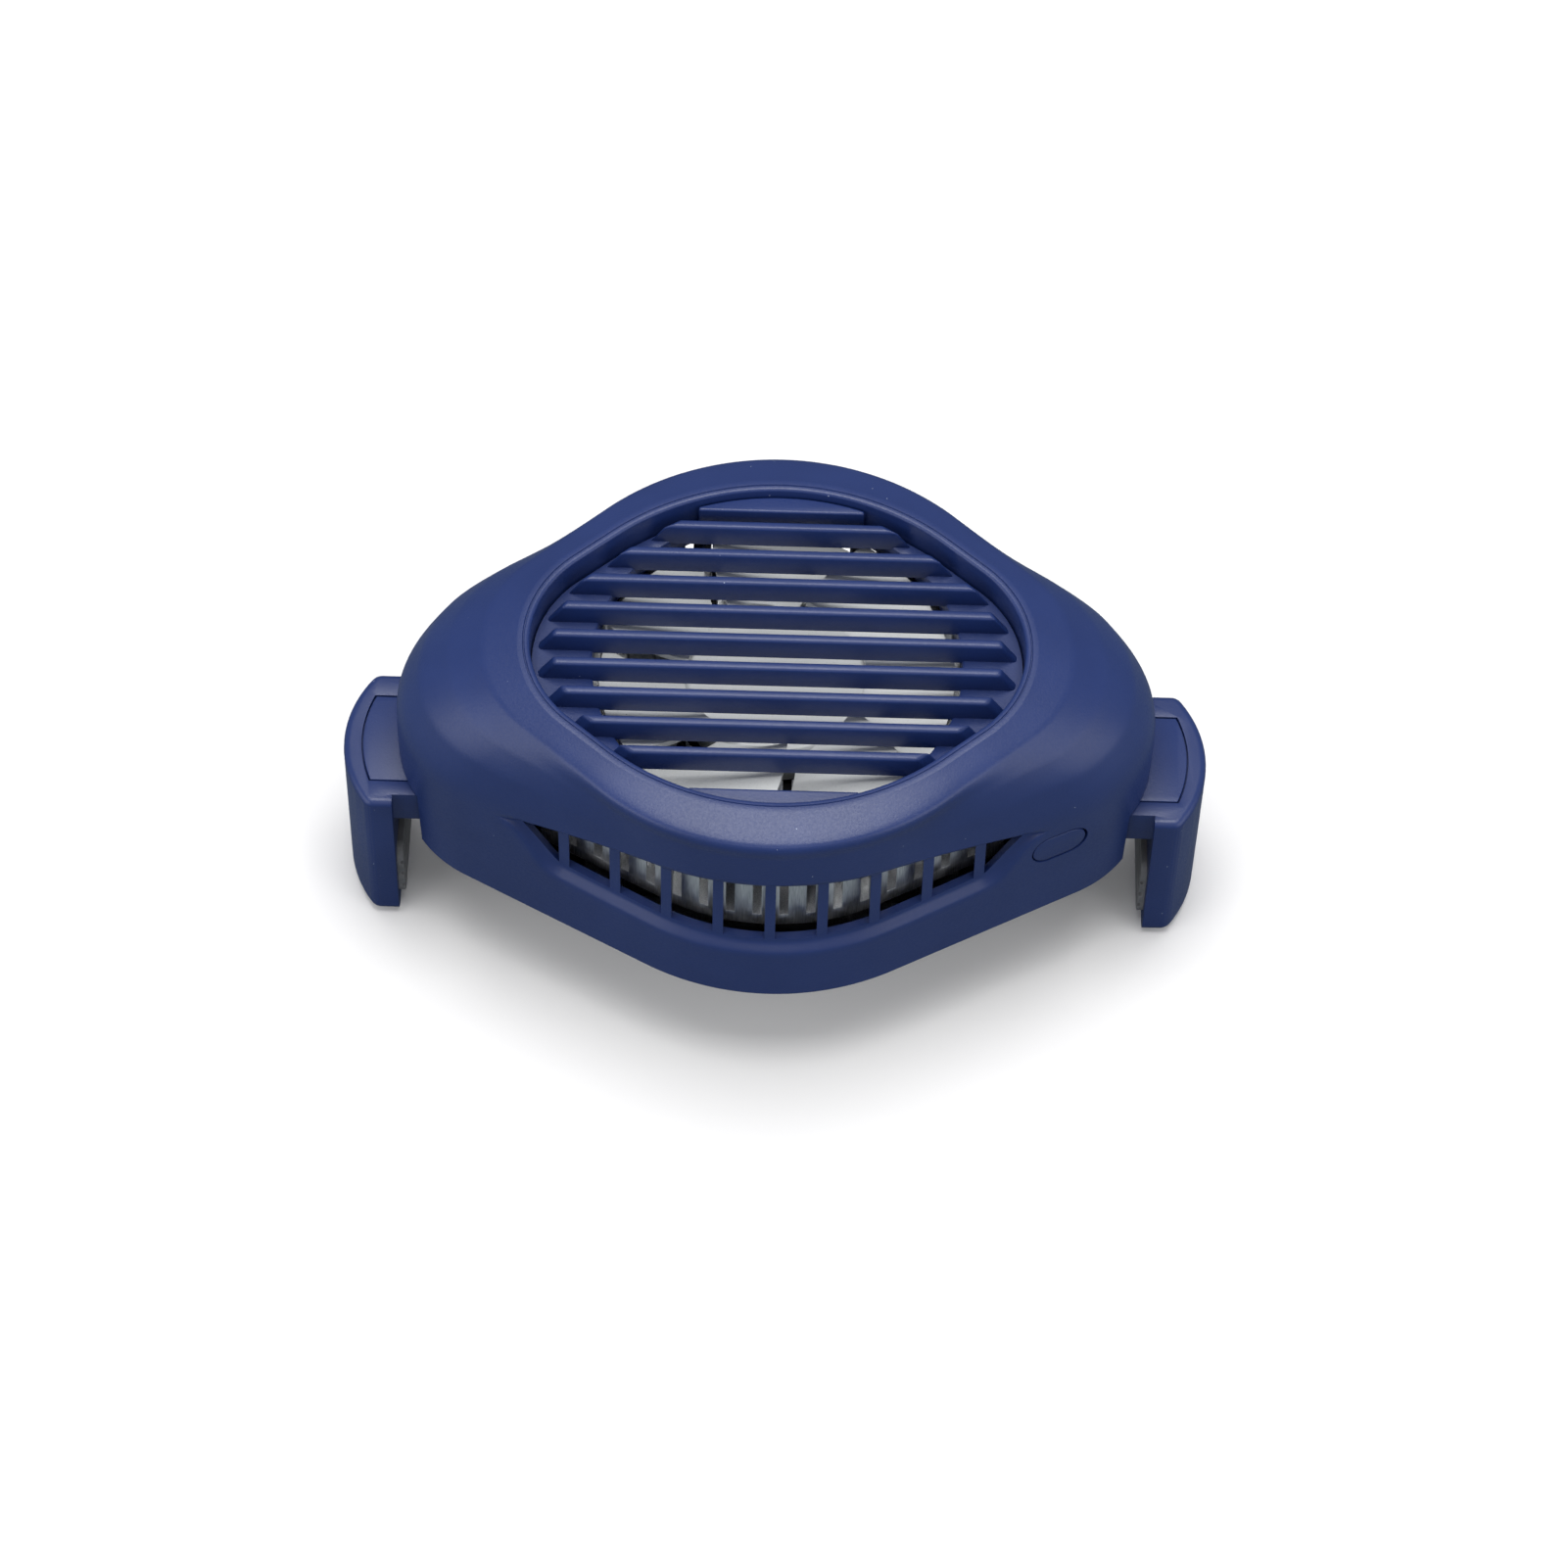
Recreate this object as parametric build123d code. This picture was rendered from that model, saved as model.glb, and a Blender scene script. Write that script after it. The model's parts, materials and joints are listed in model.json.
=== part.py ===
"""Clip-on cooling fan for the back of a phone, in millimetres.

The origin is the centre of the thermal pad's contact face, on the phone's back. +X runs to the right clamp
arm, +Y to the phone's top and +Z out of the phone's back, towards the fan's grille.
"""

import os
from math import acos, atan2, cos, hypot, pi, radians, sin, sqrt, tan

from build123d import *

# Clearances that many pieces share
slide_gap = 0.3
running_gap = 0.05
press_gap = 0.02
seat_gap = 0.1
seam_gap = 0.15
overrun = 2.0

# Body outline at its foot, a rhombus with rounded corners
body_half_width = 36.6
body_half_depth = 23.7
corner_radius = 12.5
flank_length = 20.65

# Body levels above the phone's back
body_bottom_z = 2.6
body_top_z = 27.7
wall = 1.6

# Oval opening in the top, at its distance from the body's foot, and the rim round it
opening_side_margin = 13.1
opening_front_margin = 5.65
opening_corner_radius = 12.0
opening_flank_length = 4.86
rim_width = 1.2
rim_seat_z = 23.4
rim_round = 0.4

# The body's levels as shares of its height, and its half width and half depth there as shares of the way
# from the rim's outer edge out to the foot
level_shares = (0.0, 0.29, 0.45, 0.61, 0.77, 0.88, 0.96, 1.0)
width_shares = (0.98, 0.995, 1.0, 0.975, 0.8, 0.56, 0.29, 0.0)
depth_shares = (1.0, 0.92, 0.87, 0.83, 0.8, 0.78, 0.74, 0.0)

# Side vents, with a nearly level sill, steep ends, an arched crown and upright ribs
vent_end_margin = 1.6
vent_knee_inset = 3.4
vent_knee_rise = 1.0
vent_lip_outset = 1.3
vent_sill_z = 10.8
vent_crown_z = 19.4
vent_tip_z = 16.0
vent_recess = 0.8
vent_reach_share = 0.42
rib_pitch = 4.95
rib_width = 1.0

# Grille insert, a shelf with the round fan opening and the bars
shelf_top_z = 24.4
shelf_flange = 1.3
shelf_flange_thickness = 1.0
fan_hole_side_margin = 5.9
fan_hole_front_margin = 0.45
bar_pitch = 3.3
bar_width = 1.0
bar_height = 2.4
bar_root = 0.3
bar_ramp = 1.8
bar_row_center_y = 1.3
bar_end_gap = 0.5
crescent_depth = 1.95

# Bottom shell
floor_thickness = 1.4
land_height = 1.5
land_plate_gap = 2.2
land_end_distance = 3.2
guide_thickness = 0.7
guide_height = 5.2
guide_end_distance = 5.2

# Cold plate and thermal pad
pad_thickness = 0.8
plate_front_margin = 8.7
plate_corner = 3.0
plate_flange = 1.2
plate_flange_thickness = 1.0

# Thermoelectric module and its foam gasket
module_side_margin = 4.0
module_front_margin = 2.0
ceramic_thickness = 0.9
pellet_height = 1.6
pellet_gap = 1.55
pellets_per_side = 8
gasket_width = 1.2

# Heat sink
sink_base_z = 10.3
sink_base_thickness = 1.7
sink_side_margin = 14.4
sink_inset = 3.2
fin_top_z = 19.8
fin_pitch = 2.55
fin_thickness = 1.7
fin_wall_gap = 0.5
motor_pocket_radius = 10.4
motor_pocket_z = 15.8

# Fan base, seated in the heat sink's pocket
fan_base_radius = 9.6
fan_base_thickness = 0.8
boss_radius = 2.6

# Fan rotor
hub_radius = 8.8
hub_bottom_z = 17.5
hub_top_z = 22.0
hub_top_thickness = 1.0
hub_skirt_thickness = 0.6
hub_round = 0.6
blade_count = 7
blade_tip_gap = 0.6
blade_low_z = 20.4
blade_high_z = 23.4
blade_thickness = 0.8
blade_slit = 1.1
blade_sweep_deg = 18.0
blade_station_shares = (0.0, 0.5, 1.0)

# Fan motor
shaft_radius = 0.75
shaft_bottom_z = 16.9
shaft_seat = 0.6
bearing_radius = 1.8
bearing_bottom_z = 16.7
bearing_top_z = 20.6
magnet_thickness = 1.0
magnet_bottom_z = 17.7
magnet_top_z = 20.7
core_radius = 6.8
core_ring_radius = 3.8
core_bottom_z = 18.1
core_top_z = 19.7
pole_count = 6
pole_width = 1.7
pole_shoe_thickness = 0.8
pole_shoe_deg = 44.0
coil_thickness = 0.6
fan_board_radius = 7.0
fan_board_thickness = 0.5

# Clamp arms
arm_top_z = 9.9
arm_bottom_z = 5.8
neck_half_width = 6.6
tongue_gasket_gap = 0.4
jaw_body_gap = 0.3
jaw_side_thickness = 2.4
jaw_thickness = 5.1
jaw_half_width = 7.7
jaw_bottom_z = -9.6
jaw_corner_round = 1.2
jaw_top_round = 0.7
jaw_foot_round = 1.6
arm_travel_in = 1.2

# Cap strip set into the arm's top
cap_end_margin = 1.9
cap_length = 11.9
cap_half_width = 4.9
cap_thickness = 0.6
cap_sagitta = 1.0

# Silicone pad in the jaw
jaw_pad_stand_out = 0.6
jaw_pad_set_in = 0.6
jaw_pad_half_width = 6.4
jaw_pad_top_z = -0.5
jaw_pad_bottom_z = -8.4
jaw_pad_corner = 1.6
pad_groove_count = 3
pad_groove_width = 0.6
pad_groove_depth = 0.3

# Return spring in the slot of the arm's tongue, and the post that it pushes on
spring_wire = 0.4
spring_outer_radius = 1.35
spring_curls = 8
points_per_curl = 60
spring_slot_half_width = 1.9
spring_slot_end_gap = 0.6
spring_end_wall = 1.5
spring_slot_roof_z = 8.7
spring_axis_z = 7.2
post_end_distance = 5.6
post_thickness = 1.6
post_half_width = 1.5
post_top_z = 8.4

# Power button on the front right flank
button_end_distance = 9.1
button_length = 5.6
button_height = 3.5
button_gap = 0.2
button_travel = 0.3
button_flange = 0.5
button_flange_thickness = 0.7
button_stem_radius = 0.9
button_stem_length = 0.6
button_seat_depth = 2.5

# Switch behind the button, on its own board
switch_depth = 2.4
switch_width = 4.4
switch_height = 3.0
plunger_radius = 0.8
plunger_stand_out = 0.7
plunger_depth = 1.2
switch_board_end_distance = 5.0
switch_board_half_depth = 10.2
switch_board_z = 10.6
board_thickness = 0.8
board_wall_gap = 0.4

# Power socket in the middle of the rear wall, on the control board
socket_width = 8.9
socket_height = 3.2
socket_depth = 6.2
socket_wall = 0.35
socket_recess = 0.6
socket_gap = 0.15
tongue_width = 6.6
tongue_thickness = 0.7
tongue_length = 4.6
control_board_half_width = 11.5
control_board_plate_gap = 0.4
control_board_foot_width = 1.0
control_board_foot_depth = 2.0
control_board_foot_share = 0.75
control_board_standoff = 0.4

# Parts on the control board, as length, depth and height, and their places along the board
chip_sizes = ((2.2, 1.4, 0.7), (1.6, 1.0, 0.6), (1.6, 1.6, 1.2), (1.0, 0.6, 0.4))
chip_place_shares = (-0.88, -0.5, 0.5, 0.9)

# Lead wires from the module and from the fan to the control board
module_lead_radius = 0.4
module_lead_x = 7.5
module_lead_inset = 1.2
fan_lead_radius = 0.28
fan_lead_gap_number = 2.5
fan_lead_inset = 2.6
lead_bend_radius = 1.4
lead_bend_share = 0.7

# Screws
case_screw_wall_distance = 3.88
case_boss_radius = 1.7
boss_web = 1.2
sink_screw_margin = 2.0
sink_screw_y = 9.4
sink_boss_radius = 1.7
screw_radius = 0.7
screw_head_radius = 1.3
screw_head_height = 0.6
screw_drive_radius = 0.55
screw_drive_depth = 0.35
drive_side_count = 6
case_screw_length = 5.4
sink_screw_length = 8.6


def front_radius(half_width, half_depth, side_radius, straight_length):
    """Radius of a rounded rhombus's front and rear arcs that leaves flanks of this straight length."""
    reach = (half_width - side_radius) ** 2 + half_depth**2 - side_radius**2 - straight_length**2
    return reach / (2 * (half_depth - side_radius))


def flank_angle(half_width, half_depth, side_radius, front_radius):
    """Angle from +X of the straight flank's outward normal."""
    side_center = half_width - side_radius
    front_center = half_depth - front_radius
    lean = atan2(-front_center, side_center)
    return lean + acos((front_radius - side_radius) / hypot(side_center, front_center))


def copies_within(reach, pitch):
    """Odd number of evenly spaced copies, one in the middle, that fit within a reach on both sides."""
    return 2 * int(reach / pitch) + 1


# Oval opening and rim worked out from the body's outline
end_radius = front_radius(body_half_width, body_half_depth, corner_radius, flank_length)
opening_half_width = body_half_width - opening_side_margin
opening_half_depth = body_half_depth - opening_front_margin
opening_end_radius = front_radius(
    opening_half_width, opening_half_depth, opening_corner_radius, opening_flank_length
)
rim_half_width = opening_half_width + rim_width
rim_half_depth = opening_half_depth + rim_width

# Fan and grille worked out from the opening
fan_hole_radius = min(opening_half_width - fan_hole_side_margin, opening_half_depth - fan_hole_front_margin)
blade_tip_radius = fan_hole_radius - blade_tip_gap
crescent_start_y = opening_half_depth - crescent_depth
bar_count = copies_within(crescent_start_y - bar_width / 2 - bar_row_center_y, bar_pitch)

# Heat sink, cold plate and module worked out from the body
sink_half_width = body_half_width - sink_side_margin
sink_screw_x = sink_half_width - sink_screw_margin
fin_count = copies_within(sink_half_width - fin_thickness / 2, fin_pitch)
plate_half_width = sink_screw_x - sink_boss_radius - slide_gap - plate_flange
plate_half_depth = body_half_depth - plate_front_margin
module_half_side = min(plate_half_width - module_side_margin, plate_half_depth - module_front_margin)
pellet_side = 2 * module_half_side / pellets_per_side - pellet_gap
vent_half_width = sink_half_width + vent_end_margin
rib_count = copies_within(vent_half_width, rib_pitch)

# Arms, jaws and their seats worked out from the body's ends
jaw_inner_x = body_half_width + jaw_body_gap
jaw_side_x = jaw_inner_x + jaw_side_thickness
jaw_outer_x = jaw_inner_x + jaw_thickness
tongue_inner_x = module_half_side + seat_gap + gasket_width + arm_travel_in + tongue_gasket_gap
cap_outer_x = jaw_outer_x - cap_end_margin
cap_inner_x = cap_outer_x - cap_length
jaw_pad_face_x = jaw_inner_x - jaw_pad_stand_out
post_inner_x = body_half_width - post_end_distance
spring_slot_outer_x = post_inner_x + post_thickness + arm_travel_in + spring_slot_end_gap
land_inner_x = plate_half_width + plate_flange + land_plate_gap
land_outer_x = body_half_width - land_end_distance
guide_inner_y = neck_half_width + slide_gap
guide_outer_y = guide_inner_y + guide_thickness
guide_outer_x = body_half_width - guide_end_distance

# Screws, button and boards worked out from the body's flank
foot_angle = flank_angle(body_half_width, body_half_depth, corner_radius, end_radius)
flank_offset = (body_half_width - corner_radius) * cos(foot_angle) + corner_radius
case_screw_y = guide_outer_y + case_boss_radius + slide_gap
case_screw_flank_y = case_screw_y + case_screw_wall_distance
case_screw_x = (flank_offset - case_screw_flank_y * sin(foot_angle)) / cos(foot_angle)
button_x = body_half_width - button_end_distance
button_y = -(flank_offset - button_x * cos(foot_angle)) / sin(foot_angle)
switch_board_inner_x = sink_half_width + slide_gap
switch_board_outer_x = body_half_width - switch_board_end_distance
control_board_inner_y = plate_half_depth + plate_flange + control_board_plate_gap
module_lead_end_y = control_board_inner_y + module_lead_inset
fan_lead_drop_y = control_board_inner_y + fan_lead_inset

# Levels and places worked out from the sizes above
floor_top_z = body_bottom_z + floor_thickness
plate_flange_top_z = floor_top_z + plate_flange_thickness
module_top_z = plate_flange_top_z + 2 * ceramic_thickness + pellet_height
sink_base_top_z = sink_base_z + sink_base_thickness
fan_base_top_z = motor_pocket_z + fan_base_thickness
bar_top_z = shelf_top_z + bar_height
control_board_z = floor_top_z + control_board_standoff
control_board_top_z = control_board_z + board_thickness
switch_board_top_z = switch_board_z + board_thickness
button_z = switch_board_top_z + switch_height / 2
socket_z = control_board_top_z + socket_height / 2
socket_face_y = body_half_depth - socket_recess
switch_face_depth = button_seat_depth + button_flange_thickness + button_stem_length + plunger_stand_out
spring_start_x = tongue_inner_x + spring_end_wall + spring_wire / 2 + seat_gap
spring_end_x = post_inner_x - spring_wire / 2 - seat_gap
module_lead_z = plate_flange_top_z + ceramic_thickness + pellet_height / 2
fan_lead_x = fan_lead_gap_number * fin_pitch
fan_lead_z = fan_base_top_z + fan_lead_radius + seat_gap


def rhombus(half_width, half_depth, side_radius, front_radius, z):
    """Face on level z: a rhombus with its four corners rounded."""
    angle = flank_angle(half_width, half_depth, side_radius, front_radius)
    side_x = half_width - side_radius + side_radius * cos(angle)
    side_y = side_radius * sin(angle)
    front_x = front_radius * cos(angle)
    front_y = half_depth - front_radius + front_radius * sin(angle)
    edges = [
        ThreePointArc((side_x, -side_y), (half_width, 0), (side_x, side_y)),
        Line((side_x, side_y), (front_x, front_y)),
        ThreePointArc((front_x, front_y), (0, half_depth), (-front_x, front_y)),
        Line((-front_x, front_y), (-side_x, side_y)),
        ThreePointArc((-side_x, side_y), (-half_width, 0), (-side_x, -side_y)),
        Line((-side_x, -side_y), (-front_x, -front_y)),
        ThreePointArc((-front_x, -front_y), (0, -half_depth), (front_x, -front_y)),
        Line((front_x, -front_y), (side_x, -side_y)),
    ]
    return Pos(0, 0, z) * make_face(Wire(edges))


def blend(low, high, share):
    """Value at a share of the way from low to high."""
    return low + (high - low) * share


def body_section(level_share, width_share, depth_share, inset):
    """Face of the body's outline on one level, drawn in by an inset."""
    return rhombus(
        blend(rim_half_width, body_half_width, width_share) - inset,
        blend(rim_half_depth, body_half_depth, depth_share) - inset,
        blend(opening_corner_radius + rim_width, corner_radius, width_share) - inset,
        blend(opening_end_radius + rim_width, end_radius, depth_share) - inset,
        blend(body_bottom_z, body_top_z, level_share),
    )


def body_form(inset=0):
    """Solid of the whole domed body, drawn in by an inset."""
    shares = zip(level_shares, width_shares, depth_shares)
    return loft([body_section(level, width, depth, inset) for level, width, depth in shares])


def foot_prism(inset, bottom_z, top_z):
    """Upright prism of the body's foot outline, drawn in by an inset."""
    face = body_section(level_shares[0], width_shares[0], depth_shares[0], inset)
    return extrude(Pos(0, 0, bottom_z - body_bottom_z) * face, top_z - bottom_z)


def oval_prism(outset, bottom_z, top_z):
    """Upright prism of the top opening's oval, let out by an outset."""
    face = rhombus(
        opening_half_width + outset,
        opening_half_depth + outset,
        opening_corner_radius + outset,
        opening_end_radius + outset,
        bottom_z,
    )
    return extrude(face, top_z - bottom_z)


def block(x_span, y_span, z_span):
    """Box between two values on each axis."""
    size = [span[1] - span[0] for span in (x_span, y_span, z_span)]
    middle = [(span[1] + span[0]) / 2 for span in (x_span, y_span, z_span)]
    return Pos(*middle) * Box(*size)


def post(radius, x, y, z_span):
    """Upright cylinder between two levels."""
    return Pos(x, y, (z_span[0] + z_span[1]) / 2) * Cylinder(radius, z_span[1] - z_span[0])


def ring(outer_radius, inner_radius, z_span):
    """Upright tube round the fan's axis."""
    inner_span = (z_span[0] - overrun, z_span[1] + overrun)
    return post(outer_radius, 0, 0, z_span) - post(inner_radius, 0, 0, inner_span)


def four_corners(x, y):
    """The four places at plus and minus x and y."""
    return [(side * x, end * y) for side in (-1, 1) for end in (-1, 1)]


def smile_prism(outset):
    """Prism along Y through the front wall in the vent's outline, let out at its sill and ends."""
    tip = vent_half_width + outset
    knee = vent_half_width - vent_knee_inset + outset
    sill_z = vent_sill_z - outset
    knee_z = sill_z + vent_knee_rise
    edges = [
        Line((-tip, vent_tip_z), (-knee, knee_z)),
        ThreePointArc((-knee, knee_z), (0, sill_z), (knee, knee_z)),
        Line((knee, knee_z), (tip, vent_tip_z)),
        ThreePointArc((tip, vent_tip_z), (0, vent_crown_z), (-tip, vent_tip_z)),
    ]
    face = Plane.XZ * make_face(Wire(edges))
    near_y = vent_reach_share * body_half_depth
    far_y = body_half_depth + overrun
    return Pos(0, -near_y, 0) * extrude(face, far_y - near_y, dir=(0, -1, 0))


def vent_cuts():
    """The recess and the windows of the front vent."""
    recess = smile_prism(vent_lip_outset) & (body_form() - body_form(vent_recess))
    windows = smile_prism(0)
    for index in range(rib_count):
        x = (index - (rib_count - 1) / 2) * rib_pitch
        x_span = (x - rib_width / 2, x + rib_width / 2)
        windows -= block(x_span, (-body_half_depth - overrun, 0), (body_bottom_z, body_top_z))
    return recess, windows


# The button's frame on the flank's outer face, with its normal pointing out
button_plane = Plane(
    origin=(button_x, button_y, button_z),
    x_dir=(sin(foot_angle), cos(foot_angle), 0),
    z_dir=(cos(foot_angle), -sin(foot_angle), 0),
)


def button_prism(outset, low, high):
    """Pill along the flank's normal, from low to high measured outwards from the foot's flank."""
    pill = SlotOverall(button_length + 2 * outset, button_height + 2 * outset)
    return button_plane * Pos(0, 0, low) * extrude(pill, high - low)


def socket_prism(outset, low_y, high_y):
    """Pill along Y at the power socket, from low_y to high_y."""
    pill = SlotOverall(socket_width + 2 * outset, socket_height + 2 * outset)
    return Pos(0, high_y, socket_z) * (Plane.XZ * extrude(pill, high_y - low_y))


def make_top_shell():
    """Domed cover with the oval opening, both vents, the neck slots and the screw bosses."""
    shell = body_form()
    shell -= body_form(wall) & block(
        (-body_half_width, body_half_width),
        (-body_half_depth, body_half_depth),
        (body_bottom_z - overrun, rim_seat_z),
    )
    shell -= oval_prism(0, rim_seat_z - overrun, body_top_z + overrun)
    top_face = shell.faces().sort_by(Axis.Z)[-1]
    shell = fillet(top_face.inner_wires()[0].edges(), rim_round)
    for cut in vent_cuts():
        shell -= cut
        shell -= mirror(cut, about=Plane.XZ)
    outer = body_form(wall / 2)
    for x, y in four_corners(case_screw_x, case_screw_y):
        y_span = sorted((y, y + (body_half_depth - case_screw_y) * y / abs(y)))
        web = block((x - boss_web / 2, x + boss_web / 2), y_span, (floor_top_z, switch_board_z))
        shell += (web + post(case_boss_radius, x, y, (floor_top_z, switch_board_z))) & outer
        shell -= post(screw_radius + running_gap, x, y, (floor_top_z, body_bottom_z + case_screw_length))
    slot_half = neck_half_width + slide_gap + seat_gap
    for side in (-1, 1):
        x_span = sorted((side * guide_outer_x, side * jaw_outer_x))
        z_span = (body_bottom_z - overrun, arm_top_z + slide_gap)
        shell -= block(x_span, (-slot_half, slot_half), z_span)
    shell -= button_prism(button_gap, -2 * wall, overrun)
    shell -= socket_prism(socket_gap, socket_face_y - 2 * wall, body_half_depth + overrun)
    return shell


def make_grille_insert():
    """Sunken shelf with the round fan opening, and the bars across it."""
    insert = oval_prism(shelf_flange, rim_seat_z - shelf_flange_thickness, rim_seat_z)
    insert += oval_prism(-seam_gap, rim_seat_z, shelf_top_z)
    insert -= post(fan_hole_radius, 0, 0, (rim_seat_z - overrun, shelf_top_z + overrun))
    bars = crescent_bars()
    for index in range(bar_count):
        bars += grille_bar(bar_row_center_y + (index - (bar_count - 1) / 2) * bar_pitch)
    limit = oval_prism(-seam_gap, shelf_top_z - bar_root, bar_top_z)
    return insert + (bars & limit)


def crescent_bars():
    """The two bars that fill the oval's front and rear ends."""
    end_y = opening_half_depth + overrun
    x_span = (-opening_half_width, opening_half_width)
    z_span = (shelf_top_z - bar_root, bar_top_z)
    rear_bar = block(x_span, (crescent_start_y, end_y), z_span)
    return rear_bar + block(x_span, (-end_y, -crescent_start_y), z_span)


def oval_half_width_at(y):
    """Half width of the top opening's oval at a distance y from its middle."""
    angle = flank_angle(opening_half_width, opening_half_depth, opening_corner_radius, opening_end_radius)
    side_center = opening_half_width - opening_corner_radius
    front_center = opening_half_depth - opening_end_radius
    reach = abs(y)
    if reach < opening_corner_radius * sin(angle):
        return side_center + sqrt(opening_corner_radius**2 - reach**2)
    if reach < front_center + opening_end_radius * sin(angle):
        return (side_center * cos(angle) + opening_corner_radius - reach * sin(angle)) / cos(angle)
    return sqrt(opening_end_radius**2 - (reach - front_center) ** 2)


def grille_bar(y):
    """One bar across the opening, with both ends ramped down to the shelf."""
    half = oval_half_width_at(abs(y) + bar_width / 2) - bar_end_gap
    low = shelf_top_z - bar_root
    points = [
        (-half, low),
        (half, low),
        (half, shelf_top_z),
        (half - bar_ramp, bar_top_z),
        (-half + bar_ramp, bar_top_z),
        (-half, shelf_top_z),
    ]
    face = Plane.XZ * make_face(Polyline(*points, close=True))
    return Pos(0, y + bar_width / 2, 0) * extrude(face, bar_width, dir=(0, -1, 0))


def plate_prism(outset, z_span):
    """Rounded rectangle of the cold plate, let out by an outset."""
    face = RectangleRounded(
        2 * (plate_half_width + outset),
        2 * (plate_half_depth + outset),
        plate_corner + outset,
    )
    return Pos(0, 0, z_span[0]) * extrude(face, z_span[1] - z_span[0])


def make_bottom_shell():
    """Floor with the cold plate's window, arm lands and guides, spring posts and screw bosses."""
    shell = body_form(wall + seat_gap) & block(
        (-body_half_width, body_half_width),
        (-body_half_depth, body_half_depth),
        (body_bottom_z - overrun, floor_top_z),
    )
    land_top_z = floor_top_z + land_height
    for side in (-1, 1):
        land_x = sorted((side * land_inner_x, side * land_outer_x))
        guide_x = sorted((side * land_inner_x, side * guide_outer_x))
        post_x = sorted((side * post_inner_x, side * (post_inner_x + post_thickness)))
        shell += block(land_x, (-neck_half_width, neck_half_width), (floor_top_z, land_top_z))
        shell += block(post_x, (-post_half_width, post_half_width), (land_top_z, post_top_z))
        for y_span in ((guide_inner_y, guide_outer_y), (-guide_outer_y, -guide_inner_y)):
            shell += block(guide_x, y_span, (floor_top_z, floor_top_z + guide_height))
    for x, y in four_corners(sink_screw_x, sink_screw_y):
        shell += post(sink_boss_radius, x, y, (floor_top_z, sink_base_z))
    for side in (-1, 1):
        x = side * control_board_half_width * control_board_foot_share
        x_span = (x - control_board_foot_width / 2, x + control_board_foot_width / 2)
        y_span = (control_board_inner_y, control_board_inner_y + control_board_foot_depth)
        shell += block(x_span, y_span, (floor_top_z, control_board_z))
    for x, y in four_corners(sink_screw_x, sink_screw_y) + four_corners(case_screw_x, case_screw_y):
        shell -= post(screw_radius + running_gap, x, y, (body_bottom_z - overrun, sink_base_z + overrun))
        head_span = (body_bottom_z - overrun, body_bottom_z + screw_head_height)
        shell -= post(screw_head_radius + seat_gap, x, y, head_span)
    return shell - plate_prism(seat_gap, (body_bottom_z - overrun, floor_top_z + overrun))


def make_cold_plate():
    """Aluminium plate that stands out of the floor's window, with a flange inside."""
    boss = plate_prism(0, (pad_thickness, floor_top_z))
    return boss + plate_prism(plate_flange, (floor_top_z, plate_flange_top_z))


def module_slab(half_side, z_span):
    """Square slab of the thermoelectric module."""
    return block((-half_side, half_side), (-half_side, half_side), z_span)


def make_module():
    """The cooler module's cold ceramic, its grid of pellets and its hot ceramic."""
    cold_top = plate_flange_top_z + ceramic_thickness
    hot_bottom = cold_top + pellet_height
    cold = module_slab(module_half_side, (plate_flange_top_z, cold_top))
    hot = module_slab(module_half_side, (hot_bottom, module_top_z))
    pitch = 2 * module_half_side / pellets_per_side
    places = [(index - (pellets_per_side - 1) / 2) * pitch for index in range(pellets_per_side)]
    middle_z = (cold_top + hot_bottom) / 2
    pellet = Box(pellet_side, pellet_side, pellet_height)
    pellets = [Pos(x, y, middle_z) * pellet for x in places for y in places]
    return cold, Compound(children=pellets), hot


def make_foam_gasket():
    """Foam frame round the module, between the cold plate's flange and the heat sink."""
    inner = module_half_side + seat_gap
    span = (plate_flange_top_z, sink_base_z)
    gasket = module_slab(inner + gasket_width, span)
    gasket -= module_slab(inner, (span[0] - overrun, span[1] + overrun))
    for side in (-1, 1):
        x = side * module_lead_x
        half = module_lead_radius + seat_gap
        y_span = (inner - seat_gap, inner + gasket_width + seat_gap)
        gasket -= block((x - half, x + half), y_span, (module_lead_z - half, module_lead_z + half))
    return gasket


def make_heat_sink():
    """Base with a pedestal on the module, straight fins along Y and a round pocket for the fan's motor."""
    limit = foot_prism(sink_inset, sink_base_z, fin_top_z) & body_form(wall + fin_wall_gap)
    depth_span = (-body_half_depth, body_half_depth)
    width_span = (-sink_half_width, sink_half_width)
    sink = block(width_span, depth_span, (sink_base_z, sink_base_top_z))
    for index in range(fin_count):
        x = (index - (fin_count - 1) / 2) * fin_pitch
        x_span = (x - fin_thickness / 2, x + fin_thickness / 2)
        sink += block(x_span, depth_span, (sink_base_top_z, fin_top_z))
    sink = sink & limit
    sink -= post(motor_pocket_radius, 0, 0, (motor_pocket_z, fin_top_z + overrun))
    sink += module_slab(module_half_side - seat_gap, (module_top_z, sink_base_z))
    for side in (-1, 1):
        half = fan_lead_radius + seat_gap
        x_span = (side * fan_lead_x - half, side * fan_lead_x + half)
        sink -= block(x_span, (fan_lead_drop_y - half, body_half_depth), (sink_base_z, sink_base_top_z))
    for x, y in four_corners(sink_screw_x, sink_screw_y):
        hole_top = body_bottom_z + sink_screw_length + seat_gap
        sink -= post(screw_radius + running_gap, x, y, (sink_base_z - overrun, hole_top))
    return sink


def make_fan_base():
    """Disc with the bearing's tube, seated in the heat sink's pocket."""
    base = post(fan_base_radius, 0, 0, (motor_pocket_z, fan_base_top_z))
    base += post(boss_radius, 0, 0, (fan_base_top_z, bearing_top_z - fan_base_thickness))
    return base - post(bearing_radius + press_gap, 0, 0, (bearing_bottom_z, bearing_top_z + overrun))


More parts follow.
